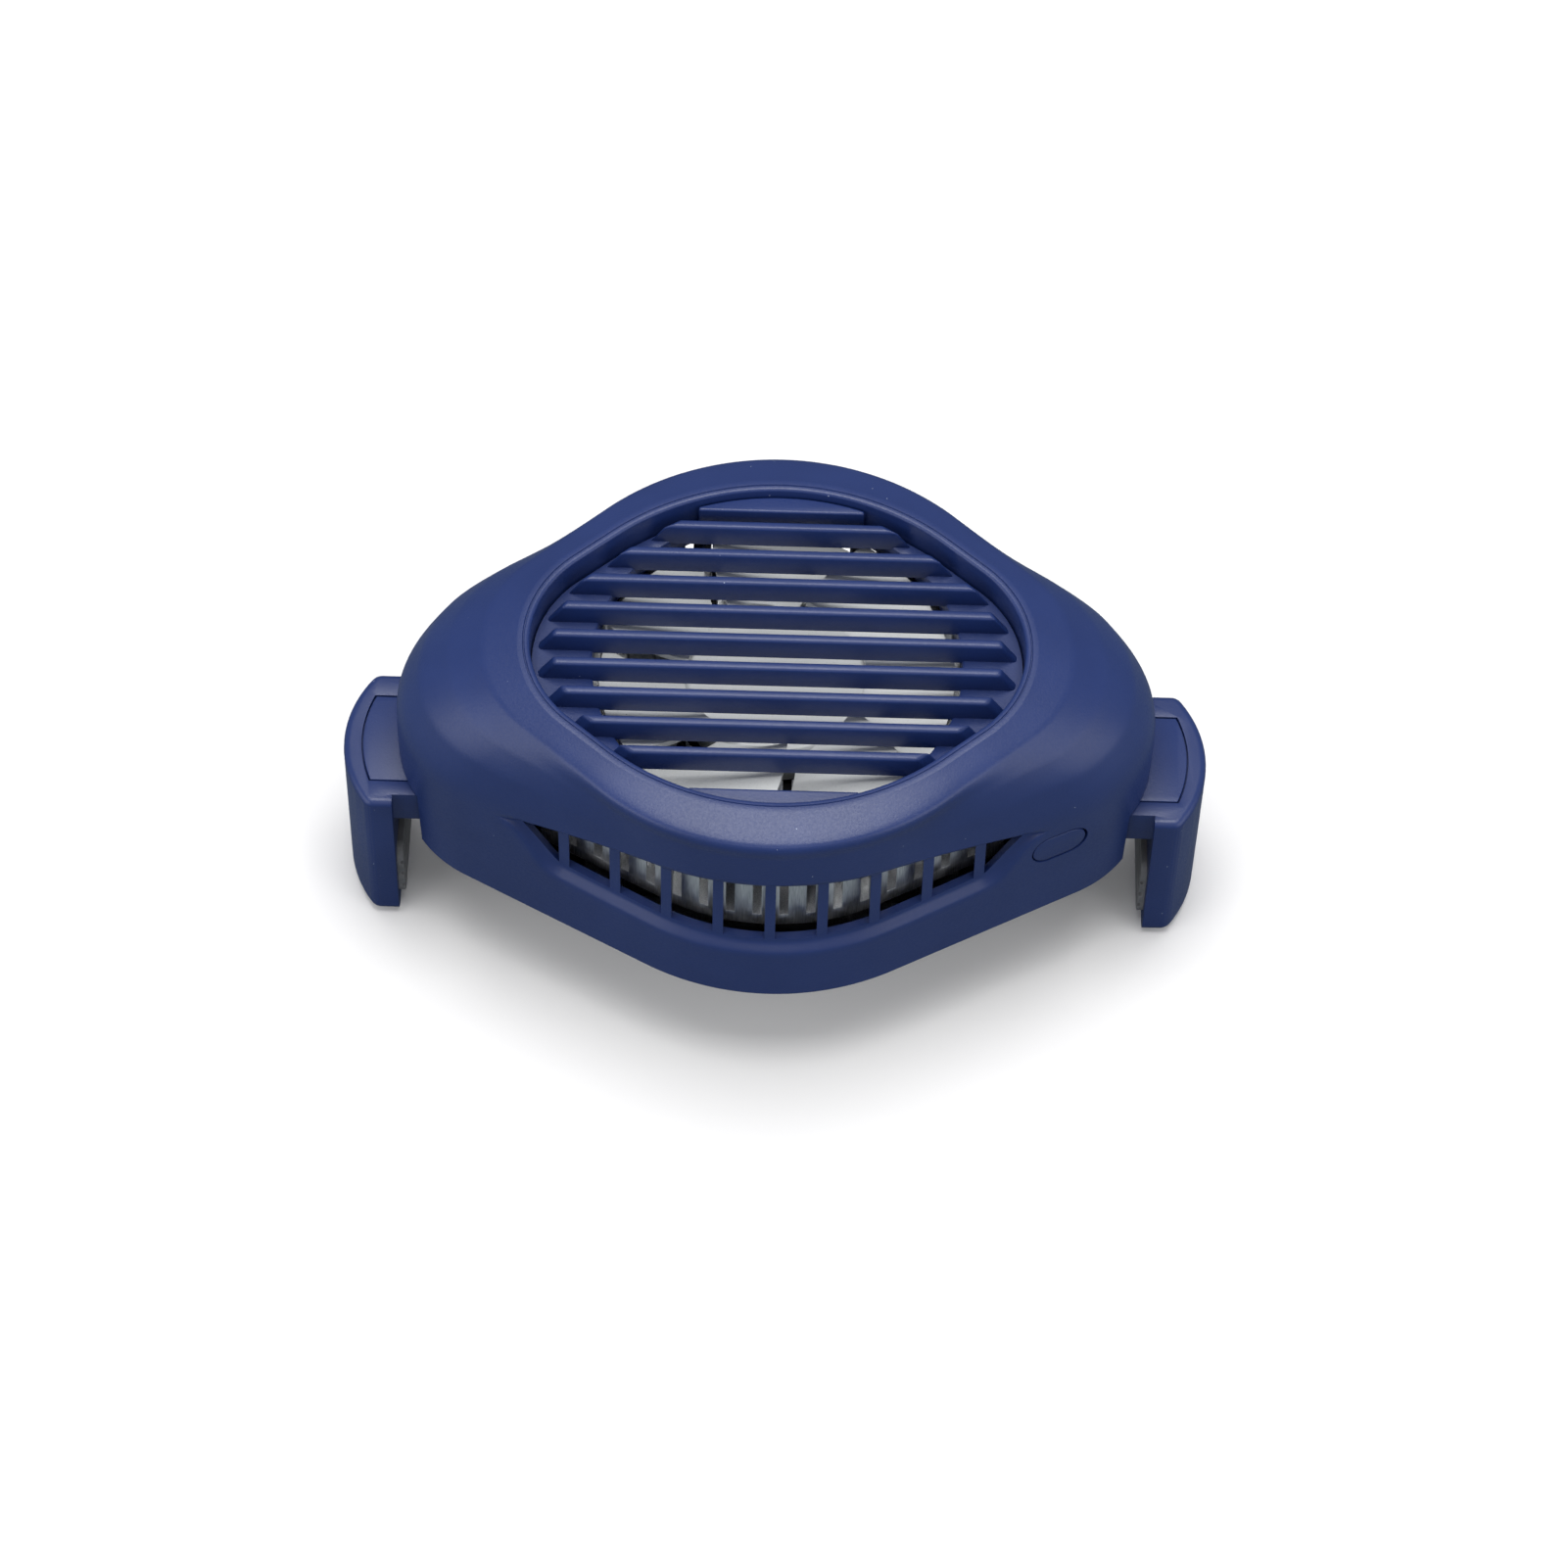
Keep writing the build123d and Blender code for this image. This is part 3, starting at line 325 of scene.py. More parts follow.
@dataclass(frozen=True)
class SolderMask:
    """Glass-fibre board under green solder mask: glossy, with tracks raised a little under the lacquer."""

    name: str
    colour: str
    track_colour: str
    track_mm: float = 4.0
    track_depth_mm: float = 0.035

    def material(self) -> Material:
        """Builds the board's material."""
        made, tree, shader = new_material(self.name, {"IOR": 1.5, "Roughness": 0.28})
        place = add_node(tree, "ShaderNodeTexCoord").outputs["Object"]
        tracks = add_node(
            tree,
            "ShaderNodeTexBrick",
            {"Scale": 1 / (self.track_mm * MM), "Mortar Size": 0.03, "Mortar Smooth": 0.1},
            {"Vector": place},
        )
        tone = mixed(tree, tracks.outputs["Fac"], self.colour, self.track_colour)
        tree.links.new(tone, shader.inputs["Base Color"])
        bump(tree, shader, tracks.outputs["Fac"], self.track_depth_mm)
        return made


@dataclass(frozen=True)
class WoundWire:
    """Enamelled copper wire in close turns: a warm metal with a ridge for each turn."""

    name: str
    colour: str
    gap_colour: str
    turn_mm: float = 0.22
    ridge_mm: float = 0.06
    rings_per_unit: float = 0.314

    def material(self) -> Material:
        """Builds the winding's material."""
        made, tree, shader = new_material(self.name, {"Metallic": 0.85, "Roughness": 0.32})
        place = add_node(tree, "ShaderNodeTexCoord").outputs["Object"]
        scale = self.rings_per_unit / (self.turn_mm * MM)
        rings = {"wave_type": "RINGS", "rings_direction": "Z", "Scale": scale}
        turns = add_node(tree, "ShaderNodeTexWave", rings, {"Vector": place})
        tone = mixed(tree, turns.outputs["Fac"], self.gap_colour, self.colour)
        tree.links.new(tone, shader.inputs["Base Color"])
        bump(tree, shader, turns.outputs["Fac"], self.ridge_mm)
        return made


@dataclass(frozen=True)
class LeadSheath:
    """PVC wire insulation, extruded and glossy: the lead on +X is red and its twin is black."""

    name: str
    positive_colour: str
    negative_colour: str
    skin_mm: float = 0.4
    skin_depth_mm: float = 0.01

    def material(self) -> Material:
        """Builds the insulation's material."""
        made, tree, shader = new_material(self.name, {"IOR": 1.52})
        place = add_node(tree, "ShaderNodeTexCoord").outputs["Object"]
        split = add_node(tree, "ShaderNodeSeparateXYZ", links={0: place})
        past_middle = {"operation": "GREATER_THAN", 1: 0.0}
        right = add_node(tree, "ShaderNodeMath", past_middle, {0: split.outputs[0]})
        tone = mixed(tree, right.outputs[0], self.negative_colour, self.positive_colour)
        tree.links.new(tone, shader.inputs["Base Color"])
        skin = noise(tree, self.skin_mm, 2)
        tree.links.new(ranged(tree, skin, 0.28, 0.42), shader.inputs["Roughness"])
        bump(tree, shader, skin, self.skin_depth_mm)
        return made


@dataclass(frozen=True)
class FiredCeramic:
    """Powder, pressed and fired: a dull chalky face, with the faint pores that firing leaves."""

    name: str
    colour: str
    pore_colour: str
    pore_mm: float = 0.25
    pore_depth_mm: float = 0.015

    def material(self) -> Material:
        """Builds the ceramic's material."""
        made, tree, shader = new_material(self.name, {"IOR": 1.7, "Roughness": 0.55})
        pores = noise(tree, self.pore_mm, 3)
        tone = mixed(tree, ranged(tree, pores, 0.0, 1.0), self.pore_colour, self.colour)
        tree.links.new(tone, shader.inputs["Base Color"])
        bump(tree, shader, pores, self.pore_depth_mm)
        return made


# Each of the record's material slots, with the finish that dresses it
FINISHES = {
    "shell": MouldedPlastic("satin_abs_navy", "1A2D60", "1F3267", 0.38),
    "black_plastic": MouldedPlastic("satin_abs_black", "141416", "1B1B1E", 0.46, dust_colour="4A4A50"),
    "rotor": MouldedPlastic(
        "polished_abs_pale_grey", "C9CBCA", "D3D5D4", 0.3, grain_depth_mm=0.004, dust_colour="8F9192"
    ),
    "bare_aluminium": BareMetal("cut_aluminium", "F0F1F2", "C9CBCD", 0.42),
    "pellets": BareMetal("bismuth_telluride", "8D9094", "6F7276", 0.45, stretch=(1, 1, 1)),
    "steel": BareMetal("drawn_steel", "C3C5C8", "9B9DA1", 0.3),
    "screw_steel": BareMetal("blackened_steel", "3A3A3D", "29292B", 0.38, stretch=(1, 1, 1)),
    "brass": BareMetal("sintered_bronze", "B58D4E", "8C6A36", 0.42, stretch=(1, 1, 1), depth_mm=0.02),
    "magnet": FiredCeramic("bonded_ferrite", "2D2B2B", "1E1D1D"),
    "ceramic": FiredCeramic("fired_alumina", "ECECE8", "DAD9D3"),
    "silicone_pad": SoftRubber("cast_silicone_thermal", "A4ABB6", "939AA6"),
    "jaw_silicone": SoftRubber("cast_silicone_grey", "6D6E70", "808184"),
    "foam": FoamSheet("closed_cell_foam", "1C1C1E", "0E0E0F"),
    "board": SolderMask("solder_mask_green", "0C3A22", "1B5A37"),
    "copper": WoundWire("enamelled_copper", "C9703A", "7A3A1A"),
    "lead_wire": LeadSheath("extruded_pvc_leads", "9E1B1B", "151517"),
}


def material_for(slot: str) -> Material:
    """The material of one of the record's slots, built when it is first asked for.

    Args:
        slot: The slot's name in the record.

    Returns:
        The material.
    """
    finish = FINISHES[slot]
    return bpy.data.materials.get(finish.name) or finish.material()


def slot_of(node: str) -> str:
    """The record's material slot of a node."""
    return next(row["material_slot"] for row in frame["record"]["subparts"] if row["node"] == node)


def deselect() -> None:
    """Leaves edit mode and deselects every object."""
    if bpy.context.mode != "OBJECT":
        bpy.ops.object.mode_set(mode="OBJECT")
    bpy.ops.object.select_all(action="DESELECT")


def activate(piece: Object) -> None:
    """Makes one object the only selected and the active one."""
    deselect()
    piece.select_set(True)
    bpy.context.view_layer.objects.active = piece


def join(pieces: list[Object], name: str) -> Object:
    """Joins several objects into one mesh.

    Args:
        pieces: The objects, at least one.
        name: The joined object's name.

    Returns:
        The joined object.
    """
    activate(pieces[0])
    for piece in pieces:
        piece.select_set(True)
    bpy.ops.object.join()
    joined = bpy.context.view_layer.objects.active
    joined.name = name
    joined.data.name = name
    return joined


def settle(piece: Object) -> None:
    """Moves an object's place, turn and scale into its mesh."""
    activate(piece)
    bpy.ops.object.transform_apply(location=True, rotation=True, scale=True)


def apply_modifier(piece: Object, kind: str, settings: dict) -> None:
    """Adds a modifier and applies it.

    Args:
        piece: The object.
        kind: The modifier's type name.
        settings: The modifier's values by attribute name.
    """
    activate(piece)
    modifier = piece.modifiers.new(kind.title(), kind)
    for name, value in settings.items():
        setattr(modifier, name, value)
    bpy.ops.object.modifier_apply(modifier=modifier.name)


def smooth(piece: Object, angle_deg: float) -> None:
    """Shades an object smooth, with edges sharper than an angle kept sharp."""
    activate(piece)
    bpy.ops.object.shade_smooth_by_angle(angle=radians(angle_deg))


def finish(piece: Object, node: str) -> None:
    """Gives a piece the material and slot of the node that it stands for.

    Args:
        piece: The finished piece.
        node: The node that is hidden behind it.
    """
    piece.data.materials.clear()
    piece.data.materials.append(material_for(slot_of(node)))
    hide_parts(node)


def dress(piece: Object, node: str, body: Body) -> Object:
    """Finishes a piece and lets it ride on a body.

    Args:
        piece: The finished piece.
        node: The node that it stands for.
        body: The body that it rides on.

    Returns:
        The same piece.
    """
    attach(piece, body.value)
    finish(piece, node)
    log.info("%s: %d faces on %s", piece.name, len(piece.data.polygons), body.value)
    return piece


def closed_ring(columns: list[list[Vector]], name: str) -> Object:
    """Builds a closed ring-shaped skin from a grid whose edges meet.

    Args:
        columns: Columns of points in millimetres, each a closed profile, in order round the ring.
        name: The object's name.

    Returns:
        The skin, with its faces pointing out.
    """
    deselect()
    rows = len(columns[0])
    bpy.ops.mesh.primitive_grid_add(x_subdivisions=rows, y_subdivisions=len(columns))
    skin = bpy.context.object
    for index, vertex in enumerate(skin.data.vertices):
        column, row = divmod(index, rows + 1)
        vertex.co = Vector(columns[column % len(columns)][row % rows]) * MM
    bpy.ops.object.mode_set(mode="EDIT")
    bpy.ops.mesh.select_all(action="SELECT")
    bpy.ops.mesh.remove_doubles(threshold=RING_MERGE_MM * MM)
    bpy.ops.mesh.normals_make_consistent(inside=False)
    bpy.ops.object.mode_set(mode="OBJECT")
    skin.name = name
    skin.data.name = name
    return skin


def merged_copy(node: str) -> Object:
    """Copies a node's mesh and joins its loose triangles.

    Args:
        node: The node's name.

    Returns:
        The copy, which still has to be dressed.
    """
    source = frame["nodes"][node]
    copy = bpy.data.objects.new(f"{node}_shaped", source.data.copy())
    bpy.context.scene.collection.objects.link(copy)
    activate(copy)
    bpy.ops.object.mode_set(mode="EDIT")
    bpy.ops.mesh.select_all(action="SELECT")
    bpy.ops.mesh.remove_doubles(threshold=MERGE_MM * MM)
    bpy.ops.mesh.dissolve_limited(angle_limit=radians(FLAT_DEG))
    bpy.ops.object.mode_set(mode="OBJECT")
    return copy


def softened_copy(node: str, edge_mm: float, segments: int = 3, angle_deg: float = 35) -> Object:
    """Copies a node's mesh and rounds its sharp edges.

    Args:
        node: The node's name.
        edge_mm: Width of the rounding.
        segments: Faces across the rounding.
        angle_deg: Edges sharper than this are rounded.

    Returns:
        The copy, which still has to be dressed.
    """
    copy = merged_copy(node)
    settings = {
        "width": edge_mm * MM,
        "segments": segments,
        "limit_method": "ANGLE",
        "angle_limit": radians(angle_deg),
        "miter_outer": "MITER_ARC",
    }
    apply_modifier(copy, "BEVEL", settings)
    smooth(copy, SMOOTH_DEG)
    return copy


@dataclass(frozen=True)
class Oval:
    """Rhombus outline with rounded corners, centred on the fan's axis."""

    half_width: float
    half_depth: float
    side_radius: float
    front_radius: float

    def inset(self, distance: float) -> "Oval":
        """The outline drawn in by a distance."""
        return Oval(
            self.half_width - distance,
            self.half_depth - distance,
            self.side_radius - distance,
            self.front_radius - distance,
        )

    def flank_angle(self) -> float:
        """Angle from +X of the straight flank's normal, in the first quarter."""
        side_center = self.half_width - self.side_radius
        front_center = self.half_depth - self.front_radius
        lean = atan2(-front_center, side_center)
        return lean + acos((self.front_radius - self.side_radius) / hypot(side_center, front_center))

    def quarter_point(self, share: float) -> tuple[float, float]:
        """Point in the first quarter, at a share of the way from +X to +Y.

        Args:
            share: From 0 on +X to 1 on +Y. Each third is one arc or the flank.

        Returns:
            The point's x and y.
        """
        angle = self.flank_angle()
        side_center = self.half_width - self.side_radius
        front_center = self.half_depth - self.front_radius
        if share <= 1 / 3:
            turn = angle * share * 3
            return side_center + self.side_radius * cos(turn), self.side_radius * sin(turn)
        if share >= 2 / 3:
            turn = angle + (pi / 2 - angle) * (share * 3 - 2)
            return self.front_radius * cos(turn), front_center + self.front_radius * sin(turn)
        start = (side_center + self.side_radius * cos(angle), self.side_radius * sin(angle))
        end = (self.front_radius * cos(angle), front_center + self.front_radius * sin(angle))
        along = share * 3 - 1
        return start[0] + (end[0] - start[0]) * along, start[1] + (end[1] - start[1]) * along

    def point(self, share: float) -> tuple[float, float]:
        """Point at a share of the way round, counter-clockwise from +X."""
        quarter = floor(share * 4) % 4
        along = share * 4 - floor(share * 4)
        if quarter % 2:
            along = 1 - along
        x, y = self.quarter_point(along)
        return (-x if quarter in (1, 2) else x), (-y if quarter in (2, 3) else y)

    def half_width_at(self, y: float) -> float:
        """Half width of the outline at a distance from its middle, found by halving the quarter."""
        low, high = 0.0, 1.0
        for _ in range(HALVINGS):
            middle = (low + high) / 2
            if self.quarter_point(middle)[1] < abs(y):
                low = middle
            else:
                high = middle
        return self.quarter_point(low)[0]


def spline(values: list[float], position: float) -> float:
    """Smooth curve through evenly numbered values.

    Args:
        values: The values at positions 0, 1, 2 and so on.
        position: Where the curve is read.

    Returns:
        The curve's value there.
    """
    last = len(values) - 1
    index = min(max(floor(position), 0), last - 1)
    t = position - index
    before = values[index - 1] if index else 2 * values[0] - values[1]
    after = values[index + 2] if index + 2 <= last else 2 * values[last] - values[last - 1]
    start, end = values[index], values[index + 1]
    slope_start, slope_end = (end - before) / 2, (after - start) / 2
    return (
        (2 * t**3 - 3 * t**2 + 1) * start
        + (t**3 - 2 * t**2 + t) * slope_start
        + (3 * t**2 - 2 * t**3) * end
        + (t**3 - t**2) * slope_end
    )


def ease(value: float) -> float:
    """Smooth step from 0 at 0 to 1 at 1."""
    clamped = min(max(value, 0.0), 1.0)
    return clamped * clamped * (3 - 2 * clamped)


# Outline of the top opening, which the cover and the grille share
OPENING = Oval(23.5, 18.05, 12.0, 24.0)


@dataclass
class TopShell:
    """Domed cover: satin plastic with an oval rim, scooped vents on both sides and slots for the arms."""

    half_width: float = 36.6
    half_depth: float = 23.7
    corner_radius: float = 12.5
    end_radius: float = 25.0
    foot_z: float = 2.6
    top_z: float = 27.7
    wall: float = 1.6
    opening: Oval = OPENING
    rim_width: float = 1.2
    rim_seat_z: float = 23.4
    rim_round: float = 0.35
    rim_round_steps: int = 4
    rim_wall: float = 1.5
    groove_outset: float = 0.6
    groove_width: float = 0.14
    groove_depth: float = 0.12
    foot_round: float = 0.25
    level_shares: tuple = (0.0, 0.29, 0.45, 0.61, 0.77, 0.88, 0.96, 1.0)
    width_shares: tuple = (0.98, 0.995, 1.0, 0.975, 0.8, 0.56, 0.29, 0.0)
    depth_shares: tuple = (1.0, 0.92, 0.87, 0.83, 0.8, 0.78, 0.74, 0.0)
    vent_half_width: float = 23.8
    vent_knee_inset: float = 3.4
    vent_knee_rise: float = 1.0
    vent_tail: float = 2.6
    lip_outset: float = 1.5
    floor_outset: float = 0.35
    sill_z: float = 10.8
    crown_z: float = 19.4
    tip_z: float = 16.0
    crown_chamfer: float = 1.3
    recess: float = 0.8
    rib_count: int = 9
    rib_pitch: float = 4.95
    rib_width: float = 1.0
    slot_half: float = 7.0
    slot_top_z: float = 10.2
    slot_inner_x: float = 31.4
    button_x: float = 27.5
    button_z: float = 12.9
    button_length: float = 5.6
    button_height: float = 3.5
    button_gap: float = 0.2
    socket_width: float = 9.2
    socket_height: float = 3.5
    socket_z: float = 6.8
    columns: int = 480
    outer_rows: tuple = (10, 6, 14, 3, 40)
    inner_rows: int = 26
    pill_steps: int = 16
    window_steps: int = 8
    smooth_deg: float = 32
    spare_row_gap: float = 0.12
    overrun: float = 2.0
    vent_reach: float = 10.0

    def section(self, z: float) -> Oval:
        """Outer outline on one level."""
        share = min(max((z - self.foot_z) / (self.top_z - self.foot_z), 0.0), 1.0)
        index = max(i for i, level in enumerate(self.level_shares[:-1]) if level <= share + 1e-9)
        low, high = self.level_shares[index], self.level_shares[index + 1]
        position = index + (share - low) / (high - low)
        wide = spline(list(self.width_shares), position)
        deep = spline(list(self.depth_shares), position)
        rim = self.opening.inset(-self.rim_width)
        return Oval(
            rim.half_width + (self.half_width - rim.half_width) * wide,
            rim.half_depth + (self.half_depth - rim.half_depth) * deep,
            rim.side_radius + (self.corner_radius - rim.side_radius) * wide,
            rim.front_radius + (self.end_radius - rim.front_radius) * deep,
        )

    def sill(self, x: float, outset: float) -> float:
        """Height of the vent's lower edge at x, let out by an outset: nearly level, with steep ends."""
        reach = abs(x)
        tip = self.vent_half_width + outset
        knee = tip - self.vent_knee_inset
        low = self.sill_z - outset
        if reach <= knee:
            return low + self.vent_knee_rise * (reach / knee) ** 2
        along = min((reach - knee) / self.vent_knee_inset, 1.0)
        return low + self.vent_knee_rise + (self.tip_z - low - self.vent_knee_rise) * along

    def crown(self, x: float) -> float:
        """Height of the vent's arched upper edge at x."""
        reach = min(abs(x) / self.vent_half_width, 1.0)
        return self.crown_z - (self.crown_z - self.tip_z) * reach**2

    def control_heights(self, x: float) -> list[float]:
        """Heights of the foot, the vent's lip, floor, crown and chamfer, and the top, at x."""
        gap = self.spare_row_gap
        lip = self.sill(x, self.lip_outset)
        base = max(self.sill(x, self.floor_outset), lip + gap)
        crown = max(self.crown(x), base + gap)
        chamfer = max(self.crown_chamfer * self.fade(x), 3 * gap)
        return [self.foot_z + self.foot_round, lip, base, crown, crown + chamfer, self.top_z]

    def fade(self, x: float) -> float:
        """How much of the vent's scoop is left at x: all of it inside the tips, none past the tails."""
        return 1 - ease((abs(x) - self.vent_half_width) / self.vent_tail)

    def scoop(self, x: float, z: float, heights: list[float]) -> float:
        """How far the vent's scoop lies below the outer surface at one point."""
        _, lip, base, crown, chamfer, _ = heights
        if z <= base:
            return self.recess * ease((z - lip) / (base - lip)) * self.fade(x)
        return self.recess * min(max((chamfer - z) / (chamfer - crown), 0.0), 1.0) * self.fade(x)

    def outer_column(self, share: float) -> list[Vector]:
        """Points up one column of the outer surface, from the foot to the rim."""
        x, y = self.section(self.sill_z).point(share)
        heights = self.control_heights(x)
        points = []
        dome = len(self.outer_rows) - 1
        for index, count in enumerate(self.outer_rows):
            for step in range(count):
                along = step / count
                if index == dome:
                    along = 1 - (1 - along) ** 2
                z = heights[index] + (heights[index + 1] - heights[index]) * along
                points.append(self.surface_point(share, z, self.scoop(x, z, heights)))
        points.append(self.surface_point(share, heights[-1], 0.0))
        return points

    def surface_point(self, share: float, z: float, depth: float) -> Vector:
        """Point of the outer surface, sunk by a depth."""
        px, py = self.section(z).inset(depth).point(share)
        return Vector((px, py, z))

    def column(self, share: float) -> list[Vector]:
        """The whole closed profile at one column: foot, outside, rim, opening, seat and inside."""
        points = [self.surface_point(share, self.foot_z, self.foot_round)]
        points += self.outer_column(share)
        half = self.groove_width / 2
        groove = ((1.6, 0.0), (0.6, 1.0), (-0.6, 1.0), (-1.6, 0.0))
        for offset, sunk in groove:
            edge = self.opening.inset(-self.groove_outset - offset * half)
            points.append(Vector((*edge.point(share), self.top_z - sunk * self.groove_depth)))
        for step in range(self.rim_round_steps + 1):
            turn = pi / 2 * step / self.rim_round_steps
            edge = self.opening.inset(-self.rim_round * (1 - sin(turn)))
            px, py = edge.point(share)
            points.append(Vector((px, py, self.top_z - self.rim_round * (1 - cos(turn)))))
        for z in (self.top_z - self.rim_wall, self.rim_seat_z):
            points.append(Vector((*self.opening.point(share), z)))
        for step in range(self.inner_rows + 1):
            z = self.rim_seat_z + (self.foot_z - self.rim_seat_z) * step / self.inner_rows
            points.append(self.surface_point(share, z, self.wall))
        return points

    def prism(self, outline: list[tuple[float, float]], low: float, high: float, place: Matrix) -> Object:
        """Closed prism used as a cutter.

        Args:
            outline: Points of its section.
            low: Start along the section's normal.
            high: End along it.
            place: Where the section's plane lies.

        Returns:
            The cutter.
        """
        deselect()
        bpy.ops.mesh.primitive_circle_add(vertices=len(outline), fill_type="NGON")
        cutter = bpy.context.object
        for vertex, (x, y) in zip(cutter.data.vertices, outline):
            vertex.co = (x, y, low)
        bpy.ops.object.mode_set(mode="EDIT")
        bpy.ops.mesh.select_all(action="SELECT")
        bpy.ops.mesh.extrude_region_move(TRANSFORM_OT_translate={"value": (0, 0, high - low)})
        bpy.ops.mesh.select_all(action="SELECT")
        bpy.ops.mesh.normals_make_consistent(inside=False)
        bpy.ops.object.mode_set(mode="OBJECT")
        cutter.data.transform(Matrix.Scale(MM, 4) @ place)
        return cutter

    def window_cutters(self, side: int) -> list[Object]:
        """Cutters for the vent's windows on the front (side -1) or the rear (side 1)."""
        half = (self.rib_count - 1) / 2
        ribs = [(index - half) * self.rib_pitch for index in range(self.rib_count)]
        starts = [-self.vent_half_width] + [x + self.rib_width / 2 for x in ribs]
        ends = [x - self.rib_width / 2 for x in ribs] + [self.vent_half_width]
        upright = Matrix.Rotation(pi / 2, 4, "X")
        low, high = sorted((-side * self.vent_reach, -side * (self.half_depth + self.overrun)))
        steps = self.window_steps
        cutters = []
        for start, end in zip(starts, ends):
            xs = [start + (end - start) * step / steps for step in range(steps + 1)]
            lower = [(x, self.sill(x, 0.0)) for x in xs]
            upper = [(x, self.crown(x)) for x in reversed(xs)]
            if start == starts[0]:
                upper.pop()
            if end == ends[-1]:
                upper.pop(0)
            cutters.append(self.prism(lower + upper, low, high, upright))
        return cutters

    def pill(self, length: float, height: float) -> list[tuple[float, float]]:
        """Outline of a pill, with its length along the first axis."""
        radius, steps = height / 2, self.pill_steps
        points = []
        for end in (1, -1):
            for step in range(steps + 1):
                turn = pi * step / steps - pi / 2
                points.append((end * (length / 2 - radius + radius * cos(turn)), end * radius * sin(turn)))
        return points

    def flank_place(self) -> Matrix:
        """Place of the button's centre on the foot outline's front right flank."""
        foot = self.section(self.foot_z)
        angle = foot.flank_angle()
        offset = (foot.half_width - foot.side_radius) * cos(angle) + foot.side_radius
        y = -(offset - self.button_x * cos(angle)) / sin(angle)
        normal = Vector((cos(angle), -sin(angle), 0))
        along = Vector((sin(angle), cos(angle), 0))
        turn = Matrix((along, Vector((0, 0, 1)), normal)).transposed().to_4x4()
        return Matrix.Translation((self.button_x, y, self.button_z)) @ turn

    def cutters(self) -> list[Object]:
        """Every cutter of the shell: windows, arm slots, button hole and socket hole."""
        made = self.window_cutters(-1) + self.window_cutters(1)
        slot = [
            (-self.slot_half, self.foot_z - self.overrun),
            (self.slot_half, self.foot_z - self.overrun),
            (self.slot_half, self.slot_top_z),
            (-self.slot_half, self.slot_top_z),
        ]
        for side in (-1, 1):
            low, high = sorted((side * self.slot_inner_x, side * (self.half_width + self.overrun)))
            turn = Matrix(((0, 0, 1, 0), (1, 0, 0, 0), (0, 1, 0, 0), (0, 0, 0, 1)))
            made.append(self.prism(slot, low, high, turn))
        gap = 2 * self.button_gap
        hole = self.pill(self.button_length + gap, self.button_height + gap)
        made.append(self.prism(hole, -2 * self.wall, self.overrun, self.flank_place()))
        hole = self.pill(self.socket_width, self.socket_height)
        upright = Matrix.Translation((0, 0, self.socket_z)) @ Matrix.Rotation(pi / 2, 4, "X")
        low = -(self.half_depth + self.overrun)
        made.append(self.prism(hole, low, -(self.half_depth - 2 * self.wall), upright))
        return made

    def build(self) -> Object:
        """Builds the shell and cuts its openings."""
        columns = [self.column(index / self.columns) for index in range(self.columns)]
        shell = closed_ring(columns, "top_shell_moulding")
        cutter = join(self.cutters(), "shell_cutter")
        apply_modifier(shell, "BOOLEAN", {"operation": "DIFFERENCE", "object": cutter, "solver": "EXACT"})
        bpy.data.objects.remove(cutter)
        smooth(shell, self.smooth_deg)
        return dress(shell, "top_shell", Body.HOUSING)


